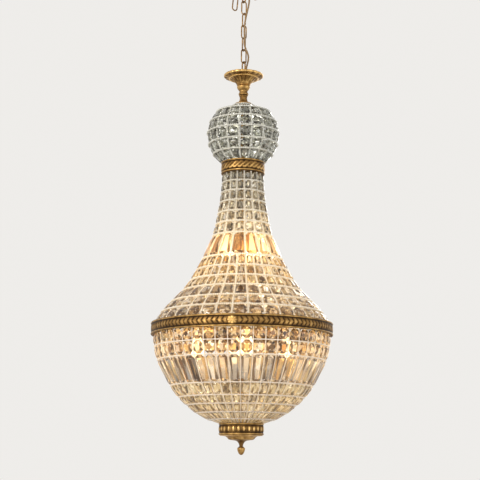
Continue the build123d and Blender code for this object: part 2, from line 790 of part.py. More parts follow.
save(crystals(skirt_net, range(skirt_rows // 2)).part, "skirt_upper_crystals")
save(crystals(skirt_net, range(skirt_rows // 2, skirt_rows)).part, "skirt_lower_crystals")
save(upright_strands(skirt_net, skirt_z - strand_sink, ring_top_z + seat).part, "skirt_strands")
save(hoops(skirt_net, range(1, skirt_rows)).part, "skirt_hoops")

save(crystals(bowl_net, range(bowl_prism_row)).part, "bowl_upper_crystals")
save(crystals(bowl_net, [bowl_prism_row]).part, "bowl_prisms")
save(crystals(bowl_net, range(bowl_prism_row + 1, bowl_rows)).part, "bowl_lower_crystals")
save(upright_strands(bowl_net, ring_low_z - seat, bowl_net.levels[-1][1]).part, "bowl_strands")
save(hoops(bowl_net, range(1, bowl_rows)).part, "bowl_hoops")


# ============================================ Bands ==============================================
def channel_band(outer, reach, top_z, height):
    """A bronze band bent to a channel: rims above and below a recessed field, and flanges inside."""
    inner = outer - rim_recess - band_wall
    field = outer - rim_recess
    low_z = top_z - height
    with BuildPart() as band:
        with BuildSketch(Plane.XZ):
            with BuildLine():
                Polyline(
                    (reach, top_z),
                    (outer - 1, top_z),
                    (outer, top_z - 1),
                    (outer, top_z - rim_height + 1),
                    (field, top_z - rim_height),
                    (field, low_z + rim_height),
                    (outer, low_z + rim_height - 1),
                    (outer, low_z + 1),
                    (outer - 1, low_z),
                    (reach, low_z),
                    (reach, low_z + band_flange),
                    (inner, low_z + band_flange),
                    (inner, top_z - band_flange),
                    (reach, top_z - band_flange),
                    close=True,
                )
            make_face()
        revolve(axis=Axis.Z)
    return band


save(channel_band(neck_band_radius, neck_band_reach, neck_top_z, neck_band_height).part, "neck_band")
save(channel_band(bottom_band_radius, bottom_band_reach, bottom_z, bottom_band_height).part, "bottom_band")

main_inner = main_band_radius - main_band_wall
main_field = main_band_radius - rim_recess
main_half = main_band_height / 2
with BuildPart() as main_band:
    with BuildSketch(Plane.XZ):
        with BuildLine():
            Polyline(
                (main_inner, band_z + main_half),
                (main_band_radius - 1, band_z + main_half),
                (main_band_radius, band_z + main_half - 1),
                (main_band_radius, band_z + main_half - rim_height + 1),
                (main_field, band_z + main_half - rim_height),
                (main_field, band_z - main_half + rim_height),
                (main_band_radius, band_z - main_half + rim_height - 1),
                (main_band_radius, band_z - main_half + 1),
                (main_band_radius - 1, band_z - main_half),
                (main_inner, band_z - main_half),
                close=True,
            )
        make_face()
    revolve(axis=Axis.Z)
save(main_band.part, "main_band")

ring_outer = main_inner - seat
ring_inner = ring_outer - main_ring_width
with BuildPart() as main_ring:
    with BuildSketch(Plane.XY.offset(ring_low_z)):
        Circle(ring_outer)
        Circle(ring_inner, mode=Mode.SUBTRACT)
    extrude(amount=main_ring_height)
save(main_ring.part, "main_ring")

# ================================ Tube, spiders, plate and nuts ====================================
hub_bore = tube_radius + fit
tube_end_z = dish_z + 5
with BuildPart() as central_tube:
    with BuildSketch(Plane.XY.offset(tube_end_z)):
        Circle(tube_radius)
        Circle(tube_bore, mode=Mode.SUBTRACT)
    extrude(amount=tube_top_z - tube_end_z)
save(central_tube.part, "central_tube")


def spider(middle_z, spokes, reach, turn):
    """A hub on the central tube, with flat spokes out to a band."""
    with BuildPart() as frame:
        with BuildSketch(Plane.XY.offset(middle_z - spoke_thickness / 2)):
            with PolarLocations(0, spokes, start_angle=turn):
                with Locations((reach / 2, 0)):
                    Rectangle(reach, spoke_width)
            Circle(reach, mode=Mode.INTERSECT)
        extrude(amount=spoke_thickness)
        with BuildSketch(Plane.XY.offset(middle_z - hub_height / 2)):
            Circle(hub_radius)
        extrude(amount=hub_height)
        with BuildSketch(Plane.XY.offset(middle_z - hub_height / 2)):
            Circle(hub_bore)
        extrude(amount=hub_height, mode=Mode.SUBTRACT)
    return frame


neck_wall = neck_band_radius - rim_recess - band_wall
neck_spider_z = neck_top_z - neck_band_height / 2
save(spider(neck_spider_z, neck_spokes, neck_wall - seat, 45).part, "neck_spider")
save(spider(band_z, main_spokes, ring_inner - seat, 30).part, "main_spider")

plate_z = bottom_z - bottom_band_height / 2
bottom_wall = bottom_band_radius - rim_recess - band_wall
with BuildPart() as bottom_plate:
    with BuildSketch(Plane.XY.offset(plate_z)):
        Circle(bottom_wall - seat)
        Circle(hub_bore, mode=Mode.SUBTRACT)
        with PolarLocations(bottom_wall * 0.62, plate_holes):
            Circle(plate_hole_radius, mode=Mode.SUBTRACT)
    extrude(amount=plate_thickness)
save(bottom_plate.part, "bottom_plate")

holder_low = {
    "lower": band_z - lower_lamp_drop - bulb_waist_height - holder_height,
    "upper": band_z + upper_lamp_rise - bulb_waist_height - holder_height,
}
lower_hub_z = holder_low["lower"] - seat - lower_arm_bend
upper_hub_z = holder_low["upper"] - seat - upper_arm_bend
nut_tops = (
    neck_spider_z - hub_height / 2,
    upper_hub_z - hub_height / 2,
    band_z - hub_height / 2,
    lower_hub_z - hub_height / 2,
    plate_z,
)
with BuildPart() as tube_nuts:
    for top_z in nut_tops:
        with BuildSketch(Plane.XY.offset(top_z - seat - nut_height)):
            RegularPolygon(nut_across / 2, 6, major_radius=False)
            Circle(hub_bore, mode=Mode.SUBTRACT)
        extrude(amount=nut_height)
save(tube_nuts.part, "tube_nuts")

with BuildPart() as tube_plug:
    with BuildSketch(Plane.XY.offset(tube_end_z)):
        Circle(tube_bore - fit)
        Circle(finial_rod_radius + fit, mode=Mode.SUBTRACT)
    extrude(amount=plug_height)
save(tube_plug.part, "tube_plug")


# ============================================ Lamps ==============================================
def lamp_arms(lamps, radius, turn, hub_z, arm_bend, end_z):
    """A hub with round arms that run out level and turn up under each lamp holder."""
    with BuildPart() as arms:
        with BuildSketch(Plane.XY.offset(hub_z - hub_height / 2)):
            Circle(hub_radius)
        extrude(amount=hub_height)
        for number in range(lamps):
            angle = radians(turn - 90 + 360 * number / lamps)
            way = Vector(cos(angle), sin(angle), 0)
            with BuildLine(Plane(origin=(0, 0, hub_z), x_dir=way, z_dir=way.cross(Vector(0, 0, 1)))) as path:
                run = Line((hub_bore + 1, 0), (radius - arm_bend, 0))
                rise = JernArc(run @ 1, run % 1, arm_bend, 90)
            with BuildSketch(Plane(origin=path.line @ 0, z_dir=path.line % 0)):
                Circle(arm_radius)
            sweep(path=path.line)
        with BuildSketch(Plane.XY.offset(hub_z - hub_height / 2)):
            Circle(hub_bore)
        extrude(amount=hub_height, mode=Mode.SUBTRACT)
    return arms


def lamp_holders(lamps, radius, turn, low_z):
    """Candle holders: a sleeve on a drip pan, bored for the bulb's screw."""
    with BuildPart() as group:
        with BuildSketch(Plane.XY.offset(low_z)):
            with PolarLocations(radius, lamps, start_angle=turn - 90):
                Circle(holder_radius)
        extrude(amount=holder_height)
        with BuildSketch(Plane.XY.offset(low_z)):
            with PolarLocations(radius, lamps, start_angle=turn - 90):
                Circle(pan_radius)
        extrude(amount=pan_thickness)
        with BuildSketch(Plane.XY.offset(low_z + holder_height - holder_bore_depth)):
            with PolarLocations(radius, lamps, start_angle=turn - 90):
                Circle(holder_bore)
        extrude(amount=holder_bore_depth, mode=Mode.SUBTRACT)
    return group


def bulbs(lamps, radius, turn, low_z):
    """Candle bulbs: a screw stub under a glass that swells and draws in to a flame tip."""
    with BuildPart() as bulb:
        with BuildSketch(Plane.XZ):
            with BuildLine():
                Line((0, low_z - bulb_screw_length), (bulb_screw_radius, low_z - bulb_screw_length))
                Line((bulb_screw_radius, low_z - bulb_screw_length), (bulb_screw_radius, low_z))
                Line((bulb_screw_radius, low_z), (bulb_radius * 0.6, low_z))
                Spline(
                    (bulb_radius * 0.6, low_z),
                    (bulb_radius, low_z + bulb_waist_height),
                    (bulb_radius * 0.34, low_z + bulb_height * 0.86),
                    (0, low_z + bulb_height),
                    tangents=((0.6, 1), (-0.55, 1)),
                )
                Line((0, low_z + bulb_height), (0, low_z - bulb_screw_length))
            make_face()
        revolve(axis=Axis.Z)
    with BuildPart() as group:
        with PolarLocations(radius, lamps, start_angle=turn - 90):
            add(bulb.part)
    return group


lamp_sets = (
    ("lower", lower_lamps, lower_lamp_radius, lower_lamp_turn, lower_hub_z, lower_arm_bend),
    ("upper", upper_lamps, upper_lamp_radius, upper_lamp_turn, upper_hub_z, upper_arm_bend),
)
for place, lamps, radius, turn, hub_z, arm_bend in lamp_sets:
    low_z = holder_low[place]
    save(lamp_arms(lamps, radius, turn, hub_z, arm_bend, low_z - seat).part, f"{place}_lamp_arms")
    save(lamp_holders(lamps, radius, turn, low_z).part, f"{place}_lamp_holders")
    save(bulbs(lamps, radius, turn, low_z + holder_height + seat).part, f"{place}_bulbs")

# ======================================== Dish and finial ==========================================
rod_bore = finial_rod_radius + fit
with BuildPart() as bottom_dish:
    with BuildSketch(Plane.XZ):
        with BuildLine():
            low_z = dish_z - dish_depth
            end_z = dish_z - dish_stem_length
            rim_low = (dish_radius - 0.8, dish_z - dish_wall)
            cove = (dish_radius - 13, dish_z - dish_wall - 0.8)
            shoulder = (dish_shoulder, low_z)
            neck = (dish_shoulder / 2, low_z - dish_wall)
            Line((dish_radius, dish_z), rim_low)
            Line(rim_low, cove)
            Spline(cove, shoulder, tangents=((-1, -0.2), (-1, -0.4)))
            Line(shoulder, neck)
            Spline(neck, (dish_stem_radius, end_z), tangents=((-1, -0.4), (-0.1, -1)))
            Line((dish_stem_radius, end_z), (rod_bore, end_z))
            Line((rod_bore, end_z), (rod_bore, low_z))
            Line((rod_bore, low_z), (dish_shoulder - 3, low_z + dish_wall))
            Line((dish_shoulder - 3, low_z + dish_wall), (dish_radius - 15, dish_z))
            Line((dish_radius - 15, dish_z), (dish_radius, dish_z))
        make_face()
    revolve(axis=Axis.Z)
save(bottom_dish.part, "bottom_dish")

with BuildPart() as finial:
    with BuildSketch(Plane.XZ):
        with BuildLine():
            rod_top = finial_z + finial_rod_length
            brim_z = finial_z - finial_height * 0.22
            Line((0, rod_top), (finial_rod_radius, rod_top))
            Line((finial_rod_radius, rod_top), (finial_rod_radius, finial_z))
            Line((finial_rod_radius, finial_z), (finial_cap_radius, finial_z))
            tip = (0, finial_z - finial_height)
            Spline((finial_cap_radius, finial_z), (finial_radius, brim_z), tangents=((1, -0.2), (0, -1)))
            Spline((finial_radius, brim_z), tip, tangents=((0, -1), (-1, -0.5)))
            Line((0, finial_z - finial_height), (0, rod_top))
        make_face()
    revolve(axis=Axis.Z)
save(finial.part, "finial")

print("pivots", [round(z, 2) for z in pivots])
print("band centre", round(band_z, 2), "cup rim", round(cup_rim_z, 2), "finial tip", round(finial_z - finial_height, 2))
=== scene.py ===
"""The finish of a crystal chandelier in the hot-air-balloon form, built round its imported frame.

Everything is in metres, +Z up, with the origin on the ceiling plane above the chain and -Y to
the front. Heights come from the frame's own pieces, so the net hangs where the bands are.
"""

import logging
from dataclasses import dataclass, field
from enum import Enum
from enum import Enum
from functools import partial
from math import cos, hypot, pi, radians, sin, sqrt, tan

import bpy
import numpy as np
from mathutils import Matrix, Vector


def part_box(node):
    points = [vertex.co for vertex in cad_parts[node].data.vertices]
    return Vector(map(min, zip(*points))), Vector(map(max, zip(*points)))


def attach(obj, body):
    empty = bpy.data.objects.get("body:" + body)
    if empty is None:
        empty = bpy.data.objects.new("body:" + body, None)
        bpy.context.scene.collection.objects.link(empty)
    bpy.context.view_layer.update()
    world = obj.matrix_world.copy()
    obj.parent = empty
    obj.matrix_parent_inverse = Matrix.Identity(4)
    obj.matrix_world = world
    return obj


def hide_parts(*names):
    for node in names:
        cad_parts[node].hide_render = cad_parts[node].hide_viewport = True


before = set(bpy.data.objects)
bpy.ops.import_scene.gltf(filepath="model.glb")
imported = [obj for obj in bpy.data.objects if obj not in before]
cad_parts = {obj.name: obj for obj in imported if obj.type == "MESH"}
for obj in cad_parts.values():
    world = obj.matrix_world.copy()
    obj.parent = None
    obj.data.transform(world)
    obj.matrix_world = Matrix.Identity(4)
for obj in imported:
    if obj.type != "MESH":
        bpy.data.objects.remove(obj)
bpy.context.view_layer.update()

MM = 0.001
MM = 0.001
SAME_POINT = 1e-6
CUP_FLOOR = 3.0 * MM
LOG = logging.getLogger("chandelier")

Color = tuple[float, float, float]
Point = tuple[float, float, float]
Profile = tuple[tuple[float, float], ...]


class Slot(Enum):
    """The record's material slots, passed along with the new pieces."""

    BRASS = "aged_brass"
    CRYSTAL = "crystal"
    BEADS = "bead_strand"
    CORD = "cord_sheath"


# ---------------------------------------- Shapes ------------------------------------------


@dataclass
class Shape:
    """Points and faces of a surface before it becomes a mesh.

    faces holds index arrays, one row per face, each array with its own count of corners.
    point_values and face_values hold named numbers, one for each point or each face.
    """

    points: np.ndarray
    faces: list[np.ndarray]
    point_values: dict[str, np.ndarray] = field(default_factory=dict)
    face_values: dict[str, np.ndarray] = field(default_factory=dict)


def joined(shapes: list[Shape]) -> Shape:
    """Several shapes as one, with their indices moved on.

    Args:
        shapes: The shapes, which carry the same point values.

    Returns:
        One shape; face values are not carried over.
    """
    points, faces, start = [], [], 0
    for shape in shapes:
        points.append(shape.points.reshape(-1, 3))
        faces += [face + start for face in shape.faces]
        start += len(points[-1])
    names = shapes[0].point_values
    values = {name: np.concatenate([s.point_values[name] for s in shapes]) for name in names}
    return Shape(np.concatenate(points), faces, values)


def grid_faces(rows: int, columns: int, wrap_rows: bool, wrap_columns: bool) -> np.ndarray:
    """Quads of a grid of points, row by row: (i, j), (i, j+1), (i+1, j+1), (i+1, j).

    Args:
        rows: Count of rows of points.
        columns: Count of points in a row.
        wrap_rows: Whether the last row joins the first.
        wrap_columns: Whether each row is closed.

    Returns:
        Corner indices, one quad per row of the array.
    """
    i = np.arange(rows if wrap_rows else rows - 1)[:, None]
    j = np.arange(columns if wrap_columns else columns - 1)[None, :]
    below = (i + 1) % rows
    after = (j + 1) % columns
    corners = (i * columns + j, i * columns + after, below * columns + after, below * columns + j)
    return np.stack(np.broadcast_arrays(*corners), -1).reshape(-1, 4)


def finished(shape: Shape, name: str, body: str, smooth: bool = True) -> bpy.types.Object:
    """Turn a shape into a mesh object that rides on a body.

    Args:
        shape: The surface.
        name: The object's name.
        body: The body that it moves with.
        smooth: Whether its faces are shaded smooth.

    Returns:
        The object, at the origin.
    """
    mesh = bpy.data.meshes.new(name)
    points = np.ascontiguousarray(shape.points, dtype=np.float32).reshape(-1, 3)
    corners = np.concatenate([face.ravel() for face in shape.faces]).astype(np.int32)
    counts = np.concatenate([np.full(len(face), face.shape[1]) for face in shape.faces])
    starts = (np.cumsum(counts) - counts).astype(np.int32)
    mesh.vertices.add(len(points))
    mesh.vertices.foreach_set("co", points.ravel())
    mesh.loops.add(len(corners))
    mesh.loops.foreach_set("vertex_index", corners)
    mesh.polygons.add(len(starts))
    mesh.polygons.foreach_set("loop_start", starts)
    mesh.polygons.foreach_set("use_smooth", np.full(len(starts), smooth))
    mesh.update(calc_edges=True)
    for domain, values in (("POINT", shape.point_values), ("FACE", shape.face_values)):
        for label, numbers in values.items():
            mesh.attributes.new(label, "FLOAT", domain).data.foreach_set(
                "value", np.ascontiguousarray(numbers, dtype=np.float32).ravel()
            )
    piece = bpy.data.objects.new(name, mesh)
    bpy.context.scene.collection.objects.link(piece)
    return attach(piece, body)


def around(count: int, half_step: bool = False) -> np.ndarray:
    """Equal angles round a circle, in radians, or those half a step further on."""
    return (np.arange(count) + (0.5 if half_step else 0.0)) / count * 2 * pi


def swept(radius: np.ndarray, height: np.ndarray, angles: np.ndarray) -> np.ndarray:
    """Points round Z, (radius * cos(angle), radius * sin(angle), height) on one grid."""
    r, z, angle = np.broadcast_arrays(radius, height, angles)
    return np.stack([r * np.cos(angle), r * np.sin(angle), z], -1)


def spun(points: np.ndarray, angles: np.ndarray) -> np.ndarray:
    """Copies of points round Z: (radius, across, height) becomes X, Y, Z at each angle.

    Args:
        points: An array whose last axis is radius, distance across and height.
        angles: The angles of the copies, in radians.

    Returns:
        An array with one more axis in front, for the copies.
    """
    shape = (len(angles),) + (1,) * (points.ndim - 1)
    c, s = np.cos(angles).reshape(shape), np.sin(angles).reshape(shape)
    radius, across, height = points[None, ..., 0], points[None, ..., 1], points[None, ..., 2]
    return np.stack([radius * c - across * s, radius * s + across * c, height + 0 * c], -1)


def curve_through(points: list[tuple[float, float]], steps: int) -> np.ndarray:
    """A smooth profile through points, by Catmull-Rom spans; a doubled point makes a corner.

    Args:
        points: Radius and height pairs.
        steps: Samples in each span.

    Returns:
        The samples, an array of pairs.
    """
    p = np.array(points, dtype=float)
    ends = np.concatenate([p[:1], p, p[-1:]])
    a, b, c, d = ends[:-3, None], ends[1:-2, None], ends[2:-1, None], ends[3:, None]
    t = (np.arange(steps) / steps)[None, :, None]
    way, bend = (c - a) / 2, a - 2.5 * b + 2 * c - d / 2
    twist = 1.5 * (b - c) + (d - a) / 2
    spans = b + t * (way + t * (bend + t * twist))
    samples = np.concatenate([spans.reshape(-1, 2), p[-1:]])
    step = np.hypot(*np.diff(samples, axis=0).T)
    return samples[np.concatenate([[True], step > SAME_POINT])]


def turned(profile: np.ndarray, segments: int) -> Shape:
    """A lathe-turned surface: each profile point runs round Z.

    A profile that starts and ends on the axis is closed by its poles, any other one is a loop.

    Args:
        profile: Radius and height pairs.
        segments: Count of points in each circle.

    Returns:
        The closed surface with its faces outwards.
    """
    r, z = profile[:, 0], profile[:, 1]
    area = np.sum(r * np.roll(z, -1) - np.roll(r, -1) * z)
    if area < 0:
        r, z = r[::-1], z[::-1]
    angles = around(segments)
    if max(r[0], r[-1]) > SAME_POINT:
        if hypot(r[0] - r[-1], z[0] - z[-1]) < SAME_POINT:
            r, z = r[:-1], z[:-1]
        points = swept(r[:, None], z[:, None], angles)
        return Shape(points.reshape(-1, 3), [grid_faces(len(r), segments, True, True)])
    rings = swept(r[1:-1, None], z[1:-1, None], angles)
    count = rings.shape[0] * segments
    poles = np.array([[0, 0, z[0]], [0, 0, z[-1]]])
    j = np.arange(segments)
    after = (j + 1) % segments
    low = np.stack([0 * j + count, after, j], -1)
    last = count - segments
    high = np.stack([0 * j + count + 1, last + j, last + after], -1)
    faces = [grid_faces(rings.shape[0], segments, False, True), low, high]
    return Shape(np.concatenate([rings.reshape(-1, 3), poles]), faces)


# --------------------------------------- Finishes -----------------------------------------


class Shader:
    """A node tree of a material or a group, with short calls to add and join nodes."""

    def __init__(self, tree: bpy.types.NodeTree) -> None:
        """Keep the tree."""
        self.tree = tree

    def node(self, kind: str, **settings: object) -> bpy.types.Node:
        """Add a node.

        Args:
            kind: The node's type.
            settings: Its properties.

        Returns:
            The node.
        """
        made = self.tree.nodes.new(kind)
        for name, value in settings.items():
            setattr(made, name, value)
        return made

    def feed(self, value: object, target: bpy.types.NodeSocket) -> None:
        """Link an output to an input, or set the input to a number or a colour.

        Args:
            value: A socket, a number, a colour or None, which leaves the input alone.
            target: The input.
        """
        if isinstance(value, bpy.types.NodeSocket):
            self.tree.links.new(value, target)
        elif isinstance(value, tuple):
            target.default_value = (*value, 1.0)
        elif value is not None:
            target.default_value = value

    def fill(self, node: bpy.types.Node, values: dict[str, object]) -> bpy.types.Node:
        """Feed several inputs of a node by their names."""
        for label, value in values.items():
            self.feed(value, node.inputs[label])
        return node

    def math(self, operation: str, first: object, second: object = None) -> bpy.types.NodeSocket:
        """A Math node on sockets or numbers.

        Args:
            operation: The node's operation.
            first: A socket or a number.
            second: A socket or a number, where the operation has two.

        Returns:
            The node's output.
        """
        made = self.node("ShaderNodeMath", operation=operation)
        for value, socket in zip((first, second), made.inputs):
            self.feed(value, socket)
        return made.outputs[0]

    def mix(self, factor: object, first: object, second: object) -> bpy.types.NodeSocket:
        """A colour mix of sockets or colours.

        Args:
            factor: A socket or a number.
            first: The colour at 0, a socket or three numbers.
            second: The colour at 1, a socket or three numbers.

        Returns:
            The mixed colour.
        """
        made = self.node("ShaderNodeMix", data_type="RGBA")
        for value, number in ((factor, 0), (first, 6), (second, 7)):
            self.feed(value, made.inputs[number])
        return made.outputs[2]

    def noise(
        self, coordinates: bpy.types.NodeSocket, scale: object, detail: float
    ) -> bpy.types.NodeSocket:
        """A noise value over these coordinates, its scale a number or a socket."""
        made = self.node("ShaderNodeTexNoise")
        self.fill(made, {"Vector": coordinates, "Scale": scale, "Detail": detail})
        return made.outputs["Fac"]

    def ramp(self, value: bpy.types.NodeSocket, low: float, high: float) -> bpy.types.NodeSocket:
        """0 up to the low value, 1 from the high one on, and straight in between."""
        made = self.node("ShaderNodeMapRange")
        self.fill(made, {"Value": value, "From Min": low, "From Max": high})
        return made.outputs[0]

    def bump(
        self, height: bpy.types.NodeSocket, strength: float, distance: float
    ) -> bpy.types.NodeSocket:
        """The normal of a surface with this height on it."""
        made = self.node("ShaderNodeBump")
        self.fill(made, {"Strength": strength, "Distance": distance, "Height": height})
        return made.outputs["Normal"]

    def group(self, name: str, values: dict[str, object]) -> bpy.types.Node:
        """Place a shader group with its own values."""
        made = self.node("ShaderNodeGroup", node_tree=bpy.data.node_groups[name])
        return self.fill(made, values)

    def attribute(self, name: str) -> bpy.types.NodeSocket:
        """A mesh attribute's number."""
        return self.node("ShaderNodeAttribute", attribute_name=name).outputs["Fac"]

    def place(self) -> bpy.types.NodeSocket:
        """The Object coordinates, in metres."""
        return self.node("ShaderNodeTexCoord").outputs["Object"]

    def height(self) -> bpy.types.NodeSocket:
        """The Object coordinates' Z."""
        split = self.node("ShaderNodeSeparateXYZ")
        self.feed(self.place(), split.inputs[0])
        return split.outputs["Z"]


def new_group(
    name: str, inputs: dict[str, object], outputs: dict[str, str]
) -> tuple[Shader, bpy.types.Node, bpy.types.Node]:
    """An empty shader group with its sockets.

    Args:
        name: The group's name.
        inputs: Each input's default, a number or a colour.
        outputs: Each output's kind, Color or Float.

    Returns:
        The group's shader, its input node and its output node.
    """
    tree = bpy.data.node_groups.new(name, "ShaderNodeTree")
    shader = Shader(tree)
    for label, default in inputs.items():
        kind = "NodeSocketColor" if isinstance(default, tuple) else "NodeSocketFloat"
        shader.feed(default, tree.interface.new_socket(label, in_out="INPUT", socket_type=kind))
    for label, kind in outputs.items():
        tree.interface.new_socket(label, in_out="OUTPUT", socket_type=f"NodeSocket{kind}")
    return shader, shader.node("NodeGroupInput"), shader.node("NodeGroupOutput")


def patina_group() -> bpy.types.NodeTree:
    """Brass that is bright on its raised parts, partly real rubbing and partly a painted highlight,
    and brown in its recesses, mottled by age.

    The wear and painted highlight is the relief with a cloud over it. The colour goes with it from
    dark through middle to bright, and what is bright is smoother.

    Returns:
        The group: Relief, Bright, Middle, Dark and Grain in; Color, Roughness and Height out.
    """
    inputs = {
        "Relief": 0.6,
        "Bright": (0.8, 0.6, 0.3),
        "Middle": (0.5, 0.3, 0.1),
        "Dark": (0.1, 0.05, 0.02),
        "Grain": 60.0,
    }
    outputs = {"Color": "Color", "Roughness": "Float", "Height": "Float"}
    mottling, fine_scale, fine_height = 0.9, 900.0, 0.3
    dull, polish, fine_rough = 0.5, 0.24, 0.08
    shader, given, made = new_group("patina", inputs, outputs)
    place = shader.place()
    cloud = shader.noise(place, given.outputs["Grain"], 4.0)
    fine = shader.noise(place, fine_scale, 2.0)
    mottled = shader.math("MULTIPLY", shader.math("SUBTRACT", cloud, 0.5), mottling)
    # The relief with a cloud over it: raised parts brighter, partly real rubbing and partly a
    # painted highlight.
    wear_and_highlight = shader.math("ADD", given.outputs["Relief"], mottled)
    low, high = shader.ramp(wear_and_highlight, 0.05, 0.55), shader.ramp(wear_and_highlight, 0.5, 0.95)
    base = shader.mix(low, given.outputs["Dark"], given.outputs["Middle"])
    rough = shader.math("SUBTRACT", dull, shader.math("MULTIPLY", high, polish))
    values = {
        "Color": shader.mix(high, base, given.outputs["Bright"]),
        "Roughness": shader.math("ADD", rough, shader.math("MULTIPLY", fine, fine_rough)),
        "Height": shader.math("ADD", cloud, shader.math("MULTIPLY", fine, fine_height)),
    }
    shader.fill(made, values)
    return shader.tree


def lamplight_group() -> bpy.types.NodeTree:
    """How much of the lamps' light is at a height: 1 at their own, exp(-(away / reach)^2) off it.

    Returns:
        The group: Lamp and Reach in; Light out.
    """
    e = 2.718
    inputs = {"Lamp": -1.0, "Reach": 0.1}
    shader, given, made = new_group("lamplight", inputs, {"Light": "Float"})
    above = shader.math("SUBTRACT", shader.height(), given.outputs["Lamp"])
    away = shader.math("DIVIDE", above, given.outputs["Reach"])
    power = shader.math("MULTIPLY", shader.math("MULTIPLY", away, away), -1.0)
    shader.fill(made, {"Light": shader.math("POWER", e, power)})
    return shader.tree


def painted_facet_light_group() -> bpy.types.NodeTree:
    """Painted light on cut crystal's facets: each gets a painted shade, midtone or highlight colour,
    and a painted glow near the lamps.

    Returns:
        The group: four painted facet colours, the painted glow colour, Lamp and Reach in; Color and
            Emission out.
    """
    inputs = {
        "Painted Shade": (0.1, 0.08, 0.05),
        "Second": (0.5, 0.4, 0.3),
        "Tint": (0.8, 0.7, 0.5),
        "Bright": (0.95, 0.95, 0.9),
        "Painted Glow": (1.0, 0.7, 0.35),
        "Lamp": -1.0,
        "Reach": 0.1,
    }
    steps = {"Second": 0.2, "Tint": 0.45, "Bright": 0.7}
    shader, given, made = new_group("painted_facet_light", inputs, {"Color": "Color", "Emission": "Color"})
    # Each facet's painted brightness picks its colour, from painted shade to painted highlight.
    facet = shader.attribute("facet")
    color = given.outputs["Painted Shade"]
    for label, step in steps.items():
        above = shader.math("GREATER_THAN", facet, step)
        color = shader.mix(above, color, given.outputs[label])
    # Painted glow: warm emission near the lamps' height, strongest on the brightest facets, though
    # crystal is no lamp.
    lamp = shader.group("lamplight", {key: given.outputs[key] for key in ("Lamp", "Reach")})
    glow = shader.math("MULTIPLY", lamp.outputs[0], shader.math("POWER", facet, 2.0))
    emission = shader.mix(glow, (0.0, 0.0, 0.0), given.outputs["Painted Glow"])
    shader.fill(made, {"Color": color, "Emission": emission})
    return shader.tree


def start_material(name: str) -> tuple[bpy.types.Material, Shader, bpy.types.Node]:
    """A new material with its shader and its Principled node."""
    material = bpy.data.materials.new(name)
    material.use_nodes = True
    return material, Shader(material.node_tree), material.node_tree.nodes["Principled BSDF"]


@dataclass(frozen=True)
class BrassFinish:
    """Antique brass: its bright, middle and dark colours, and a plain piece's level of wear and
    painted highlight.
    """

    name: str
    bright: Color = (0.76, 0.48, 0.17)
    middle: Color = (0.25, 0.135, 0.042)
    dark: Color = (0.035, 0.019, 0.009)
    wear_and_highlight: float | None = None
    grain: float = 60.0
    bump: float = 0.25
    bump_depth: float = 0.4 * MM

    def material(self) -> bpy.types.Material:
        """The material; without a set level of wear and painted highlight it reads the piece's
        relief attribute.

        Returns:
            The material, a metal over the patina group.
        """
        material, shader, surface = start_material(self.name)
        values = {
            "Relief": shader.attribute("relief") if self.wear_and_highlight is None else self.wear_and_highlight,
            "Bright": self.bright,
            "Middle": self.middle,
            "Dark": self.dark,
            "Grain": self.grain,
        }
        patina = shader.group("patina", values).outputs
        shader.fill(surface, {"Base Color": patina["Color"], "Roughness": patina["Roughness"]})
        normal = shader.bump(patina["Height"], self.bump, self.bump_depth)
        shader.fill(surface, {"Normal": normal, "Metallic": 1.0})
        return material


@dataclass(frozen=True)
class CrystalFinish:
    """Cut crystal: its four painted facet colours, a painted glow of the lamps behind it and how
    clear it is.
    """

    name: str
    bright: Color
    painted_midtone: Color
    second: Color
    painted_shade: Color
    painted_facet_light: Color = (1.0, 0.66, 0.30)
    lamp_z: float = -1.0
    reach: float = 0.1
    glow: float = 0.0
    clear: float = 0.75
    rough: float = 0.05
    refraction: float = 1.54

    def material(self) -> bpy.types.Material:
        """The material: glass over the painted facet light group.

        Returns:
            The material.
        """
        material, shader, surface = start_material(self.name)
        values = {
            "Bright": self.bright,
            "Tint": self.painted_midtone,
            "Second": self.second,
            "Painted Shade": self.painted_shade,
            "Painted Glow": self.painted_facet_light,
            "Lamp": self.lamp_z,
            "Reach": self.reach,
        }
        # Painted light: the facet colours stand in for highlights, reflections and shade, and the
        # emission is a painted glow near the lamps.
        painted_facet_light = shader.group("painted_facet_light", values).outputs
        shader.fill(surface, {"Base Color": painted_facet_light["Color"], "Emission Color": painted_facet_light["Emission"]})
        shader.fill(surface, {"Emission Strength": self.glow, "Transmission Weight": self.clear})
        shader.fill(surface, {"Roughness": self.rough, "IOR": self.refraction})
        return material


@dataclass(frozen=True)
class BeadFinish:
    """Small glass beads: two colours that alternate in patches along the strings."""

    name: str
    color: Color
    shade: Color
    lamp_z: float = -1.0
    reach: float = 0.1
    glow: float = 0.0
    warm: Color = (1.0, 0.78, 0.46)
    clear: float = 0.08
    rough: float = 0.16
    refraction: float = 1.5
    cloud_scale: float = 38.0
    spot_scale: float = 260.0
    cloud_share: float = 0.45

    def material(self) -> bpy.types.Material:
        """The material: pale glass with cloudy patches, and a painted glow near the lamps.

        Returns:
            The material.
        """
        material, shader, surface = start_material(self.name)
        place = shader.place()
        clouds = shader.noise(place, self.cloud_scale, 3.0)
        spots = shader.noise(place, self.spot_scale, 1.0)
        clouds = shader.math("MULTIPLY", clouds, self.cloud_share)
        spots = shader.math("MULTIPLY", spots, 1 - self.cloud_share)
        share = shader.ramp(shader.math("ADD", clouds, spots), 0.35, 0.65)
        # Painted glow: a warm emission near the lamps' height, though the beads are no lamps.
        lamp = shader.group("lamplight", {"Lamp": self.lamp_z, "Reach": self.reach})
        lit = shader.mix(lamp.outputs[0], (0.0, 0.0, 0.0), self.warm)
        color = shader.mix(share, self.shade, self.color)
        shader.fill(surface, {"Base Color": color, "Emission Color": lit})
        shader.fill(surface, {"Emission Strength": self.glow, "Transmission Weight": self.clear})
        shader.fill(surface, {"Roughness": self.rough, "IOR": self.refraction})
        return material


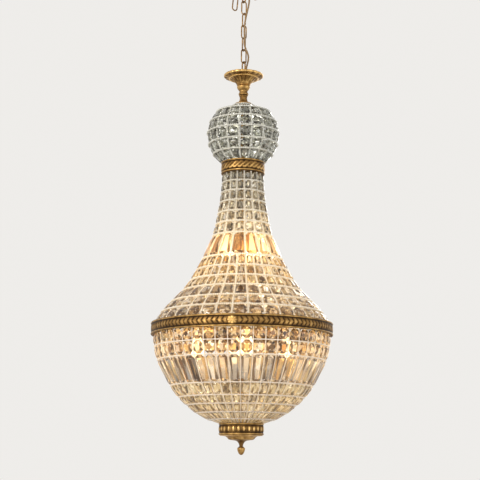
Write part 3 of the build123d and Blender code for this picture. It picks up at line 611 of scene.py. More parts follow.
@dataclass(frozen=True)
class PlainFinish:
    """A painted, plated or moulded surface with soft mottling and a fine grain."""

    name: str
    color: Color
    shade: Color
    rough: float = 0.4
    metal: float = 0.0
    grain: float = 120.0
    rough_spread: float = 0.16
    bump: float = 0.15
    bump_depth: float = 0.3 * MM

    def material(self) -> bpy.types.Material:
        """The material.

        Returns:
            The material.
        """
        material, shader, surface = start_material(self.name)
        place = shader.place()
        cloud = shader.noise(place, self.grain, 4.0)
        spread = shader.math("MULTIPLY", cloud, self.rough_spread)
        fine = shader.noise(place, self.grain * 12, 2.0)
        values = {
            "Base Color": shader.mix(cloud, self.shade, self.color),
            "Roughness": shader.math("ADD", self.rough - self.rough_spread / 2, spread),
            "Normal": shader.bump(fine, self.bump, self.bump_depth),
            "Metallic": self.metal,
        }
        shader.fill(surface, values)
        return material


@dataclass(frozen=True)
class BulbFinish:
    """Lit candle bulbs: hottest round the filament, deeper towards the tip and the base."""

    name: str
    waist_z: float
    reach: float = 50.0 * MM
    hot: Color = (1.0, 0.80, 0.48)
    edge: Color = (0.95, 0.50, 0.16)
    strength: float = 3.2
    rough: float = 0.1

    def material(self) -> bpy.types.Material:
        """The material.

        Returns:
            The material, a warm emission by height.
        """
        material, shader, surface = start_material(self.name)
        away = shader.math("ABSOLUTE", shader.math("SUBTRACT", shader.height(), self.waist_z))
        far = shader.math("MINIMUM", shader.math("DIVIDE", away, self.reach), 1.0)
        color = shader.mix(far, self.hot, self.edge)
        shader.fill(surface, {"Base Color": color, "Emission Color": color})
        shader.fill(surface, {"Emission Strength": self.strength, "Roughness": self.rough})
        return material


@dataclass(frozen=True)
class CordFinish:
    """The supply cord's sheath: a gold fabric with a fine braid across it."""

    name: str = "cord_braid"
    color: Color = (0.46, 0.29, 0.12)
    shade: Color = (0.20, 0.11, 0.045)
    rough: float = 0.55
    sheen: float = 0.3
    bump: float = 0.4
    bump_depth: float = 0.4 * MM
    waves_per_metre: float = 5200.0
    wave_ways: tuple[Point, Point] = ((0.6, 0.0, 0.8), (-0.6, 0.0, 0.8))

    def material(self) -> bpy.types.Material:
        """The material: two crossing sine waves make the braid's diamonds.

        Returns:
            The material.
        """
        material, shader, surface = start_material(self.name)
        place = shader.place()
        waves = []
        for way in self.wave_ways:
            along = shader.node("ShaderNodeVectorMath", operation="DOT_PRODUCT")
            along.inputs[1].default_value = way
            shader.feed(place, along.inputs[0])
            turn = shader.math("MULTIPLY", along.outputs["Value"], self.waves_per_metre)
            waves.append(shader.math("SINE", turn))
        braid = shader.math("ADD", shader.math("MULTIPLY", *waves), 1.0)
        braid = shader.math("MULTIPLY", braid, 0.5)
        values = {
            "Base Color": shader.mix(braid, self.shade, self.color),
            "Normal": shader.bump(braid, self.bump, self.bump_depth),
            "Roughness": self.rough,
            "Sheen Weight": self.sheen,
        }
        shader.fill(surface, values)
        return material


def dress(
    piece: bpy.types.Object, finish: bpy.types.Material, slot: Slot, *replaced: str
) -> bpy.types.Object:
    """Give a piece its material, and hide the CAD nodes that it stands for.

    Args:
        piece: The piece.
        finish: Its material.
        slot: The record's slot; not used.
        replaced: The CAD nodes that it replaces.

    Returns:
        The piece.
    """
    piece.data.materials.clear()
    piece.data.materials.append(finish)
    if replaced:
        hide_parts(*replaced)
    return piece


# ---------------------------------------- Studio ------------------------------------------


@dataclass
class SoftLamp:
    """One soft square lamp of the studio."""

    name: str
    place: Point
    side: float
    watts: float
    color: Color

    def make(self, aim: Point) -> None:
        """Stand the lamp at its place.

        Args:
            aim: The point that it faces.
        """
        data = bpy.data.lights.new(self.name, "AREA")
        data.size = self.side
        data.energy = self.watts
        data.color = self.color
        lamp = bpy.data.objects.new(self.name, data)
        turn = (Vector(aim) - Vector(self.place)).to_track_quat("-Z", "Y").to_matrix().to_4x4()
        lamp.matrix_world = Matrix.Translation(self.place) @ turn
        bpy.context.scene.collection.objects.link(lamp)


@dataclass
class Studio:
    """Camera, pale floor, soft lamps and a pale world."""

    camera_distance: float = 3.322
    camera_z: float = -1.459
    camera_pitch: float = 10.4
    camera_yaw: float = 0.12
    camera_roll: float = 0.4
    lens: float = 91.0
    floor_z: float = -2.3
    floor_half: float = 15.0
    floor_color: Color = (0.3, 0.3, 0.29)
    floor_glow: float = 0.35
    floor_shown: float = 0.84
    backdrop: Color = (0.86, 0.845, 0.82)
    soft_light: Color = (1.0, 0.985, 0.96)
    level: float = 0.42
    aim: Point = (0.0, 0.0, -0.95)
    lamps: tuple[SoftLamp, ...] = (
        SoftLamp("key", (-1.9, -2.7, -0.2), 1.3, 58.0, (1.0, 0.96, 0.9)),
        SoftLamp("fill", (2.6, -2.0, -1.2), 1.8, 16.0, (0.94, 0.97, 1.0)),
        SoftLamp("back", (0.8, 2.9, 0.2), 1.8, 36.0, (1.0, 0.98, 0.95)),
    )

    @staticmethod
    def seen_directly(shader: Shader) -> bpy.types.NodeSocket:
        """1 for what the camera, gloss or glass sees, 0 for soft light."""
        path = shader.node("ShaderNodeLightPath")
        direct = shader.math("MAXIMUM", path.outputs["Is Camera Ray"], path.outputs["Is Glossy Ray"])
        return shader.math("MAXIMUM", direct, path.outputs["Is Transmission Ray"])

    def make_camera(self) -> None:
        """Stand the camera where the photograph was taken, a little below the finial."""
        data = bpy.data.cameras.new("camera")
        data.lens = self.lens
        data.sensor_width = 36.0
        data.clip_end = 100.0
        camera = bpy.data.objects.new("camera", data)
        turn = Matrix.Rotation(radians(self.camera_yaw), 4, "Z")
        pitch = Matrix.Rotation(radians(90 + self.camera_pitch), 4, "X")
        roll = Matrix.Rotation(radians(self.camera_roll), 4, "Z")
        place = Matrix.Translation((0, -self.camera_distance, self.camera_z))
        camera.matrix_world = place @ turn @ pitch @ roll
        bpy.context.scene.collection.objects.link(camera)
        bpy.context.scene.camera = camera

    def make_world(self) -> None:
        """A pale world: cameras, gloss and glass see the backdrop, and soft light comes from it."""
        world = bpy.data.worlds.new("studio")
        bpy.context.scene.world = world
        world.use_nodes = True
        shader = Shader(world.node_tree)
        out = world.node_tree.nodes["World Output"]
        soft = world.node_tree.nodes["Background"]
        shader.fill(soft, {"Color": self.soft_light, "Strength": self.level})
        seen = shader.fill(shader.node("ShaderNodeBackground"), {"Color": self.backdrop})
        mixed = shader.node("ShaderNodeMixShader")
        parts = (self.seen_directly(shader), soft.outputs[0], seen.outputs[0])
        for part, target in zip(parts, mixed.inputs):
            shader.feed(part, target)
        shader.feed(mixed.outputs[0], out.inputs["Surface"])

    def make_floor(self) -> None:
        """A wide pale floor far below the chandelier."""
        half, z = self.floor_half, self.floor_z
        corners = [(-half, -half, z), (half, -half, z), (half, half, z), (-half, half, z)]
        mesh = bpy.data.meshes.new("floor")
        mesh.from_pydata(corners, [], [(0, 1, 2, 3)])
        floor = bpy.data.objects.new("floor", mesh)
        bpy.context.scene.collection.objects.link(floor)
        material, shader, surface = start_material("floor_paint")
        more = shader.math(
            "MULTIPLY", self.seen_directly(shader), self.floor_shown - self.floor_glow
        )
        values = {
            "Base Color": self.floor_color,
            "Roughness": 0.9,
            "Emission Color": self.backdrop,
            "Emission Strength": shader.math("ADD", more, self.floor_glow),
        }
        shader.fill(surface, values)
        floor.data.materials.append(material)

    def make(self) -> None:
        """Build the whole studio."""
        self.make_camera()
        self.make_world()
        self.make_floor()
        for lamp in self.lamps:
            lamp.make(self.aim)


# ------------------------------------------ Cord ------------------------------------------


@dataclass
class ChainAxes:
    """The chain's own directions: it is twisted about Z."""

    turn: float = 32.0

    def point(self, x: float, y: float, z: float) -> Vector:
        """A point given along the twisted chain's own axes, in millimetres, as metres."""
        c, s = cos(radians(self.turn)), sin(radians(self.turn))
        return Vector((x * c - y * s, x * s + y * c, z)) * MM

    def x_way(self) -> np.ndarray:
        """The unit vector across an odd link."""
        return np.array([cos(radians(self.turn)), sin(radians(self.turn)), 0.0])

    def y_way(self) -> np.ndarray:
        """The unit vector across an even link."""
        return np.array([-sin(radians(self.turn)), cos(radians(self.turn)), 0.0])


@dataclass
class SupplyCord:
    """The cord that winds round the chain, in one stretch for each body that carries it.

    Its points are the route's, in millimetres along the chain's own axes. hook_z, first_z,
    last_z and loop_z are the heights where the chain turns.
    """

    axes: ChainAxes
    hook_z: float = -80.4
    first_z: float = -116.2
    last_z: float = -298.7
    loop_z: float = -335.2
    lean: float = 0.56
    half_gap: float = 0.4
    diameter: float = 5.0 * MM
    bevel_steps: int = 4
    curve_steps: int = 16

    def crossing(
        self, x: float, y: float, z: float, lean_x: float, lean_y: float, drop: float
    ) -> Vector:
        """A point on the straight run through a turning point, a drop below it."""
        return self.axes.point(x + lean_x * drop, y + lean_y * drop, z - drop)

    def routes(self) -> list[tuple[str, str, float, list[Vector]]]:
        """Each stretch: its name, its body, its real length in metres and its points.

        Returns:
            The stretches from the ceiling down to the cup.
        """
        point, gap = self.axes.point, self.half_gap
        first, loop = self.first_z, self.loop_z
        at_hook = partial(self.crossing, 0, 15, self.hook_z, self.lean, 0)
        at_first = partial(self.crossing, 12.5, 0, first, 0, -self.lean)
        at_last = partial(self.crossing, 0, -13, self.last_z, self.lean, 0)
        at_loop = partial(self.crossing, 12.5, 0, loop, 0, self.lean)
        top = [point(-8.6, 16, -13.1), point(-8.9, 16.2, -42.8), at_hook(-15), at_hook(-gap)]
        upper = [at_hook(gap), at_hook(12), at_first(-12), at_first(-gap)]
        run = [
            at_first(gap),
            at_first(17),
            point(9, -13.5, first - 40),
            point(2, -15.5, first - 66),
            point(-5, -14.5, first - 96),
            point(-7, -13, first - 126),
            point(-6, -14, first - 150),
            at_last(-14),
            at_last(-gap),
        ]
        lower = [at_last(gap), at_last(12), at_loop(-12), at_loop(-gap)]
        cup = [point(14, 7, loop - 30), point(13.5, 4, -379.1), point(13.5, 4, -395.8)]
        tail = [at_loop(gap), at_loop(14), *cup]
        return [
            ("supply_cord_top", "root", 0.067, top),
            ("supply_cord_upper", "link_1", 0.040, upper),
            ("supply_cord_run", "chain_run", 0.188, run),
            ("supply_cord_lower", "link_7", 0.041, lower),
            ("supply_cord_tail", "chandelier", 0.061, tail),
        ]

    def make(self, finish: bpy.types.Material) -> None:
        """Args:
            finish: The sheath's material.
        """
        for node, body, length, points in self.routes():
            curve = bpy.data.curves.new(f"{node}_sheath", "CURVE")
            curve.dimensions = "3D"
            curve.bevel_depth = 1.0  # metres, times each point's radius
            curve.bevel_resolution = self.bevel_steps
            curve.resolution_u = self.curve_steps
            curve.use_fill_caps = True
            spline = curve.splines.new("NURBS")
            spline.points.add(len(points) - 1)
            for place, target in zip(points, spline.points):
                target.co = (*place, 1.0)
                target.radius = self.diameter / 2
            spline.order_u = 3
            spline.use_endpoint_u = True
            piece = bpy.data.objects.new(f"{node}_sheath", curve)
            bpy.context.scene.collection.objects.link(piece)
            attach(piece, body)
            dress(piece, finish, Slot.CORD, node)
            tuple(points[0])
            LOG.info("cord %s: %d mm", node, round(length / MM))


# ------------------------------------------ Chain -----------------------------------------


def wire_oval(
    middle: np.ndarray,
    across: np.ndarray,
    up: np.ndarray,
    span: float,
    width: float,
    wire: float,
    arc_steps: int = 22,
    sides: int = 14,
) -> Shape:
    """One closed wire oval: two half circles joined by straight sides, with a round section.

    A point of it is the oval's point, plus the wire's radius times the cosine of the turn
    along the oval's own outward way and its sine along the way square to the oval. The weld
    on one straight side is a tenth thicker.

    Args:
        middle: The oval's middle.
        across: Its short way.
        up: Its long way.
        span: Its length between wire centres.
        width: Its width between wire centres.
        wire: The wire's diameter.
        arc_steps: Steps along each half circle.
        sides: Count of points round the wire.

    Returns:
        The closed tube.
    """
    weld_bulge, weld_reach, straight_share = 0.1, 0.9 * wire, 0.75
    half = span / 2 - width / 2
    turns = np.linspace(0, pi, arc_steps + 1)
    weld = np.linspace(straight_share, -straight_share, 7) * half
    along = np.concatenate([turns, 0 * weld + pi, turns + pi])[:, None]
    lift = np.concatenate([0 * turns + half, weld, 0 * turns - half])[:, None]
    bulge = np.exp(-((weld / weld_reach) ** 2)) * weld_bulge
    bulge = np.concatenate([0 * turns, bulge, 0 * turns])
    outward = np.cos(along) * across + np.sin(along) * up
    square = np.cross(-np.sin(along) * across + np.cos(along) * up, outward)
    centre = middle + np.cos(along) * width / 2 * across
    centre = centre + (np.sin(along) * width / 2 + lift) * up
    angle = around(sides)[None, :, None]
    radius = (wire / 2 * (1 + bulge))[:, None, None]
    ring = np.cos(angle) * outward[:, None] + np.sin(angle) * square[:, None]
    points = centre[:, None] + radius * ring
    return Shape(points.reshape(-1, 3), [grid_faces(len(along), sides, True, True)])


@dataclass
class Chain:
    """Seven welded links and two short spare tails on the hook."""

    axes: ChainAxes
    length: float = 44.0 * MM
    width: float = 19.0 * MM
    wire: float = 3.6 * MM
    count: int = 7
    spare_side: float = 6.5 * MM
    spare_left_tilts: tuple[float, ...] = (33.0, 15.0, 6.0)
    spare_right_tilts: tuple[float, ...] = (44.0, 24.0)
    hook_radius: float = 12.0 * MM
    hook_rise: float = 4.6 * MM
    hook_middle_z: float = -68.4 * MM
    link_rise: float = 3.9 * MM

    def link(self, middle: np.ndarray, across: np.ndarray, up: np.ndarray) -> Shape:
        """One link round its middle, with its flat side across."""
        span, width = self.length - self.wire, self.width - self.wire
        return wire_oval(middle, across, up, span, width, self.wire)

    def tail(self, side: float, tilts: tuple[float, ...], way: float) -> list[Shape]:
        """Spare links that hang from the hook beside the chain.

        Args:
            side: How far beside the chain's middle the first one hangs.
            tilts: Each link's lean off the plumb line, in degrees.
            way: 1 or -1, the side that they lean to.

        Returns:
            The links, alternately edge on and flat.
        """
        span = self.length - self.wire
        end_radius = (self.width - self.wire) / 2
        inner = self.hook_radius - self.hook_rise
        wire_z = self.hook_middle_z - sqrt(self.hook_radius**2 - side**2)
        top_z = self.hook_middle_z - sqrt(inner**2 - side**2)
        x_way, y_way = self.axes.x_way(), self.axes.y_way()
        start = y_way * side + np.array([0, 0, wire_z])
        reach = span / 2 - (top_z - wire_z)
        links = []
        for position, tilt in enumerate(tilts):
            lean = x_way * way * sin(radians(tilt)) - np.array([0, 0, cos(radians(tilt))])
            across = y_way if position % 2 else np.cross(y_way, lean)
            links.append(self.link(start + lean * reach, across, lean))
            start = start + lean * (reach + span / 2 - end_radius)
            reach = end_radius - self.link_rise + span / 2
        return links

    def make(self, finish: bpy.types.Material) -> None:
        """Build the links and the spare tails over their CAD nodes.

        Args:
            finish: The brass of the links.
        """
        bodies = {1: "link_1", self.count: "link_7"}
        for number in range(1, self.count + 1):
            node = f"chain_link_{number}"
            low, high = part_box(node)
            middle = np.array((low + high) / 2)
            across = self.axes.x_way() if number % 2 else self.axes.y_way()
            piece = finished(
                self.link(middle, across, np.array([0, 0, 1.0])),
                f"{node}_wire",
                bodies.get(number, "chain_run"),
            )
            dress(piece, finish, Slot.BRASS, node)
        tails = self.tail(self.spare_side, self.spare_left_tilts, -1)
        tails += self.tail(-self.spare_side, self.spare_right_tilts, 1)
        piece = finished(joined(tails), "spare_chain_wire", "root")
        dress(piece, finish, Slot.BRASS, "spare_chain")
        LOG.info("chain: %d links and %d spare ones", self.count, len(tails))


@dataclass
class TopLoop:
    """The eye on its threaded stem, with a collar on the cup's floor."""

    axes: ChainAxes
    wire: float = 4.0 * MM
    span: float = 34.0 * MM
    width: float = 19.0 * MM
    stem_radius: float = 5.0 * MM
    collar_radius: float = 9.0 * MM
    collar_height: float = 4.3 * MM
    segments: int = 40

    def make(self, finish: bpy.types.Material) -> None:
        """Build the eye and the turned stem over their CAD node.

        Args:
            finish: The brass of the eye.
        """
        low_z, high_z = (corner.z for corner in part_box("top_loop"))
        floor_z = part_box("top_cup")[0].z + CUP_FLOOR
        top_z = high_z - self.wire / 2
        up = np.array([0, 0, 1.0])
        middle = up * (top_z - self.span / 2)
        width = self.width - self.wire
        eye = wire_oval(middle, self.axes.y_way(), up, self.span, width, self.wire)
        joint_z, collar_z = top_z - self.span, floor_z + self.collar_height
        stem, collar = self.stem_radius, self.collar_radius
        profile = [
            (0, low_z),
            (stem - 0.6 * MM, low_z),
            (stem, low_z + 0.8 * MM),
            (stem, floor_z + 0.3 * MM),
            (collar - 0.8 * MM, floor_z + 0.3 * MM),
            (collar, floor_z + 1.5 * MM),
            (collar, collar_z - 1.0 * MM),
            (collar - 1.2 * MM, collar_z),
            (stem + 0.2 * MM, collar_z),
            (stem - 0.3 * MM, collar_z + 4.0 * MM),
            (stem - 0.2 * MM, joint_z - 4.0 * MM),
            (stem - 1.2 * MM, joint_z),
            (0, joint_z + 1.2 * MM),
        ]
        shape = joined([eye, turned(np.array(profile), self.segments)])
        piece = finished(shape, "top_loop_eye", "chandelier")
        dress(piece, finish, Slot.BRASS, "top_loop")
        LOG.info("eye and stem")


# ------------------------------------------- Net ------------------------------------------


@dataclass(frozen=True)
class FacetShine:
    """Painted highlight or shade of each kind of facet, from 0 to 1, and how far single ones stray
    from it.

    The girdle facets and the stars have two values: beside a cut corner, and along an edge.
    """

    girdle: tuple[float, float] = (0.1, 0.55)
    star: tuple[float, float] = (0.85, 0.3)
    kite: float = 0.3
    edge: float = 0.8
    bevel: float = 0.6
    table: float = 0.62
    back: float = 0.6
    facet_spread: float = 0.3
    stone_spread: float = 0.07

    def values(self) -> np.ndarray:
        """The facets' brightness, in the order of a crystal's faces.

        Returns:
            One value for each face.
        """
        corner = np.arange(8) % 2 == 1
        rings = [np.where(corner, *self.girdle), np.where(corner, *self.star)]
        rings += [np.full(8, value) for value in (self.kite, self.edge, self.bevel)]
        return np.concatenate([*rings, (self.table, self.back)])


@dataclass
class Net:
    """One stretch of the net: columns of flat cells between levels of (radius, height).

    Radii are to the middle of a cell's edge; the strings run at the corners. Crystals lie in the
    cells, upright strings between the columns and hoops outside the levels.
    """

    columns: int
    turn: float
    strand: float
    gap: float
    levels: np.ndarray
    high_z: float
    low_z: float
    girdle: float = 2.0 * MM
    bevel: float = 4.0 * MM
    bevel_share: float = 0.56
    corner_cut: float = 0.30
    waist_share: float = 0.3
    table_share: float = 0.62
    ring_rise: float = 0.66
    shine: FacetShine = FacetShine()
    bead_sides: int = 6
    bead_waist: float = 0.34
    bead_girth: float = 0.96
    bead_shoulders: tuple[float, float] = (0.28, 0.72)
    string_inset: float = 0.2 * MM
    hoop_clearance: float = 0.3 * MM
    seed: int = 5

    def column_angles(self, half_step: bool) -> np.ndarray:
        """Angles of the cells' middles, or half a column further on, of the upright strings."""
        return radians(self.turn - 90) + around(self.columns, half_step)

    def row_normals(self) -> np.ndarray:
        """Outward normals of the rows, in the radius and height plane."""
        step = np.diff(self.levels, axis=0)
        normals = np.stack([-step[:, 1], step[:, 0]], -1)
        return normals / np.linalg.norm(normals, axis=1, keepdims=True)

    def level_normals(self) -> np.ndarray:
        """Outward normals at the levels, midway between the rows above and below."""
        rows = self.row_normals()
        both = np.concatenate([rows[:1], rows]) + np.concatenate([rows, rows[-1:]])
        return both / np.linalg.norm(both, axis=1, keepdims=True)

    def string_lines(self, depth: float) -> np.ndarray:
        """The corner line moved in by a depth, or out by a negative one."""
        corner = self.levels * (1 / cos(pi / self.columns), 1.0)
        return corner - self.level_normals() * depth

    @staticmethod
    def octagon(top: float, low: float, height: float, cut: float, inset: float) -> np.ndarray:
        """A cell's outline with its corners cut, moved in by an inset.

        Args:
            top: Half its width at the top.
            low: Half its width at the bottom.
            height: Half its height.
            cut: How much of each corner is cut away.
            inset: How far the outline is moved in.

        Returns:
            Eight points, from the lower right upwards and round.
        """
        lost_cut, least_cut = 0.586, 0.25
        top, low, height = top - inset, low - inset, height - inset
        cut = max(cut - lost_cut * inset, least_cut * min(top, low, height))
        step = (top - low) * cut / (2 * height)
        right = [(low + step, cut - height), (top - step, height - cut), (top - cut, height)]
        left = [(-x, y) for x, y in reversed(right)]
        low_cut = [(-(low - cut), -height), (low - cut, -height)]
        return np.array([*right, *left, *low_cut])

    def cut_crystal(self, row: int) -> tuple[np.ndarray, list[np.ndarray], np.ndarray]:
        """One star-cut crystal of a row, in its cell's own plane.

        A table is joined to the girdle by a ring of eight points that stand half a step round:
        eight star facets, eight kites and eight girdle facets. Its back is a plain bevel.

        Args:
            row: The row's number.

        Returns:
            Its points (across, up, outward), its faces and each face's painted brightness.
        """
        (top_r, top_z), (low_r, low_z) = self.levels[row], self.levels[row + 1]
        length = hypot(low_r - top_r, low_z - top_z)
        height = (length - self.gap) / 2
        middle = (top_r + low_r) / 2
        slope = (low_r - top_r) * height / length
        top = (middle - slope) * tan(pi / self.columns) - self.gap / 2
        low = (middle + slope) * tan(pi / self.columns) - self.gap / 2
        narrow = min(top, low)
        bevel = min(self.bevel, self.bevel_share * narrow)
        cut = self.corner_cut * min(narrow, height) * 2
        rim = self.octagon(top, low, height, cut, 0.0)
        waist = self.octagon(top, low, height, cut, narrow * self.waist_share)
        table = self.octagon(top, low, height, cut, narrow * self.table_share)
        back = self.octagon(top, low, height, cut, bevel)
        ring = (waist + np.roll(waist, -1, axis=0)) / 2
        half = self.girdle / 2
        layers = (
            (rim, half),
            (ring, half + bevel * self.ring_rise),
            (table, half + bevel),
            (rim, -half),
            (back, -half - bevel),
        )
        points = np.concatenate([np.column_stack([xy, np.full(8, z)]) for xy, z in layers])
        k = np.arange(8)
        after = (k + 1) % 8
        before = (k - 1) % 8
        girdle_facets = np.stack([k, after, 8 + k], -1)
        stars = np.stack([8 + k, 16 + after, 16 + k], -1)
        kites = np.stack([k, 8 + k, 16 + k, 8 + before], -1)
        edge = np.stack([24 + k, 24 + after, after, k], -1)
        bevels = np.stack([24 + after, 24 + k, 32 + k, 32 + after], -1)
        tables = np.stack([16 + k, 32 + k[::-1]])
        faces = [np.concatenate([girdle_facets, stars]), np.concatenate([kites, edge, bevels])]
        return points, [*faces, tables], self.shine.values()

    def crystals(self, rows: range) -> Shape:
        """All the crystals of some rows: each is placed on its cell and copied round.

        Args:
            rows: The rows' numbers.

        Returns:
            The crystals, each a closed solid, with a painted brightness for each facet.
        """
        draw = np.random.default_rng(self.seed + rows[0])
        normals = self.row_normals()
        points, triangles, quads, tables, shine = [], [], [], [], ([], [], [])
        start = 0
        for row in rows:
            cell, faces, bright = self.cut_crystal(row)
            (top_r, top_z), (low_r, low_z) = self.levels[row], self.levels[row + 1]
            out_r, out_z = normals[row]
            radius = (top_r + low_r) / 2 - cell[:, 1] * out_z + cell[:, 2] * out_r
            height = (top_z + low_z) / 2 + cell[:, 1] * out_r + cell[:, 2] * out_z
            placed = spun(np.stack([radius, cell[:, 0], height], -1), self.column_angles(False))
            points.append(placed.reshape(-1, 3))
            offsets = start + np.arange(self.columns)[:, None, None] * len(cell)
            counts = [len(face) for face in faces]
            parts = np.split(bright, np.cumsum(counts)[:-1])
            for held, face, part, level in zip((triangles, quads, tables), faces, parts, shine):
                held.append((face[None] + offsets).reshape(-1, face.shape[1]))
                spread = draw.normal(0.0, self.shine.facet_spread, (self.columns, len(face)))
                whole = draw.normal(0.0, self.shine.stone_spread, (self.columns, 1))
                level.append((part + spread + whole).reshape(-1))
            start += self.columns * len(cell)
        faces = [np.concatenate(held) for held in (triangles, quads, tables)]
        facet = np.clip(np.concatenate([np.concatenate(level) for level in shine]), 0.0, 1.0)
        return Shape(np.concatenate(points), faces, {}, {"facet": facet})

    def bead_rings(self, length: float) -> tuple[np.ndarray, np.ndarray]:
        """Places and radii of the rings of a row of beads: a waist, then two full rings a bead.

        Args:
            length: The string's length.

        Returns:
            The rings' places along the string and their radii.
        """
        size = self.gap - 0.2 * MM
        beads = max(2, round(length / size))
        starts = np.array([0.0, *self.bead_shoulders])
        places = (np.arange(beads)[:, None] + starts).reshape(-1) * length / beads
        girths = np.array([self.bead_waist, self.bead_girth, self.bead_girth])
        return places, np.tile(girths * size / 2, beads)

    def upright_strings(self) -> Shape:
        """The upright bead strings: a tube along the corner line, as wide as the beads.

        A point is the line's point, plus the ring's radius times the cosine of the turn sideways
        and its sine along the line's normal.

        Returns:
            The strings, each closed at both ends.
        """
        line = self.string_lines(self.string_inset + self.strand / 2)
        above, below = line[0] - line[1], line[-1] - line[-2]
        first = line[0] + above * (self.high_z - line[0, 1]) / above[1]
        last = line[-1] + below * (self.low_z - line[-1, 1]) / below[1]
        inside = (line[:, 1] < self.high_z - 1.0 * MM) & (line[:, 1] > self.low_z + 1.0 * MM)
        line = np.concatenate([first[None], line[inside], last[None]])
        step = np.diff(line, axis=0)
        arc = np.concatenate([[0.0], np.cumsum(np.hypot(*step.T))])
        places, radii = self.bead_rings(arc[-1])
        places, radii = np.append(places, arc[-1]), np.append(radii, radii[0])
        r, z = np.interp(places, arc, line[:, 0]), np.interp(places, arc, line[:, 1])
        way = np.stack([np.gradient(r, places), np.gradient(z, places)], -1)
        way /= np.linalg.norm(way, axis=1, keepdims=True)
        angle = around(self.bead_sides, True)
        side, out = radii[:, None] * np.cos(angle), radii[:, None] * np.sin(angle)
        rings = np.stack([r[:, None] - out * way[:, 1:], side, z[:, None] + out * way[:, :1]], -1)
        return self.copies_round(rings, closed=False)

    def copies_round(self, rings: np.ndarray, closed: bool) -> Shape:
        """Copy a tube's rings to each string's place and close them.

        Args:
            rings: The tube's rings (radius, across, height).
            closed: Whether the tube's ends meet.

        Returns:
            The strings' surfaces.
        """
        count, sides = rings.shape[:2]
        placed = spun(rings, self.column_angles(True))
        offsets = np.arange(self.columns)[:, None, None] * count * sides
        tube = (grid_faces(count, sides, closed, True)[None] + offsets).reshape(-1, 4)
        ends = np.stack([np.arange(sides)[::-1], (count - 1) * sides + np.arange(sides)])
        caps = (ends[None] + offsets).reshape(-1, sides)
        return Shape(placed.reshape(-1, 3), [tube, caps])

    def hoops(self, levels: range) -> Shape:
        """Bead hoops just outside the cells' corners, one at each of these levels.

        A point is the hoop's circle, plus the ring's radius times the cosine of the turn
        outwards and its sine downwards.

        Args:
            levels: The levels' numbers.

        Returns:
            The hoops, each a closed ring of beads.
        """
        line = self.string_lines(-self.hoop_clearance - self.strand / 2)
        angle = around(self.bead_sides, True)
        shapes = []
        for level in levels:
            radius, height = line[level]
            places, radii = self.bead_rings(2 * pi * radius)
            out = radius + radii[:, None] * np.cos(angle)
            down = radii[:, None] * np.sin(angle)
            points = swept(out, height - down, (places / radius)[:, None])
            faces = grid_faces(len(places), self.bead_sides, True, True)
            shapes.append(Shape(points.reshape(-1, 3), [faces]))
        return joined(shapes)


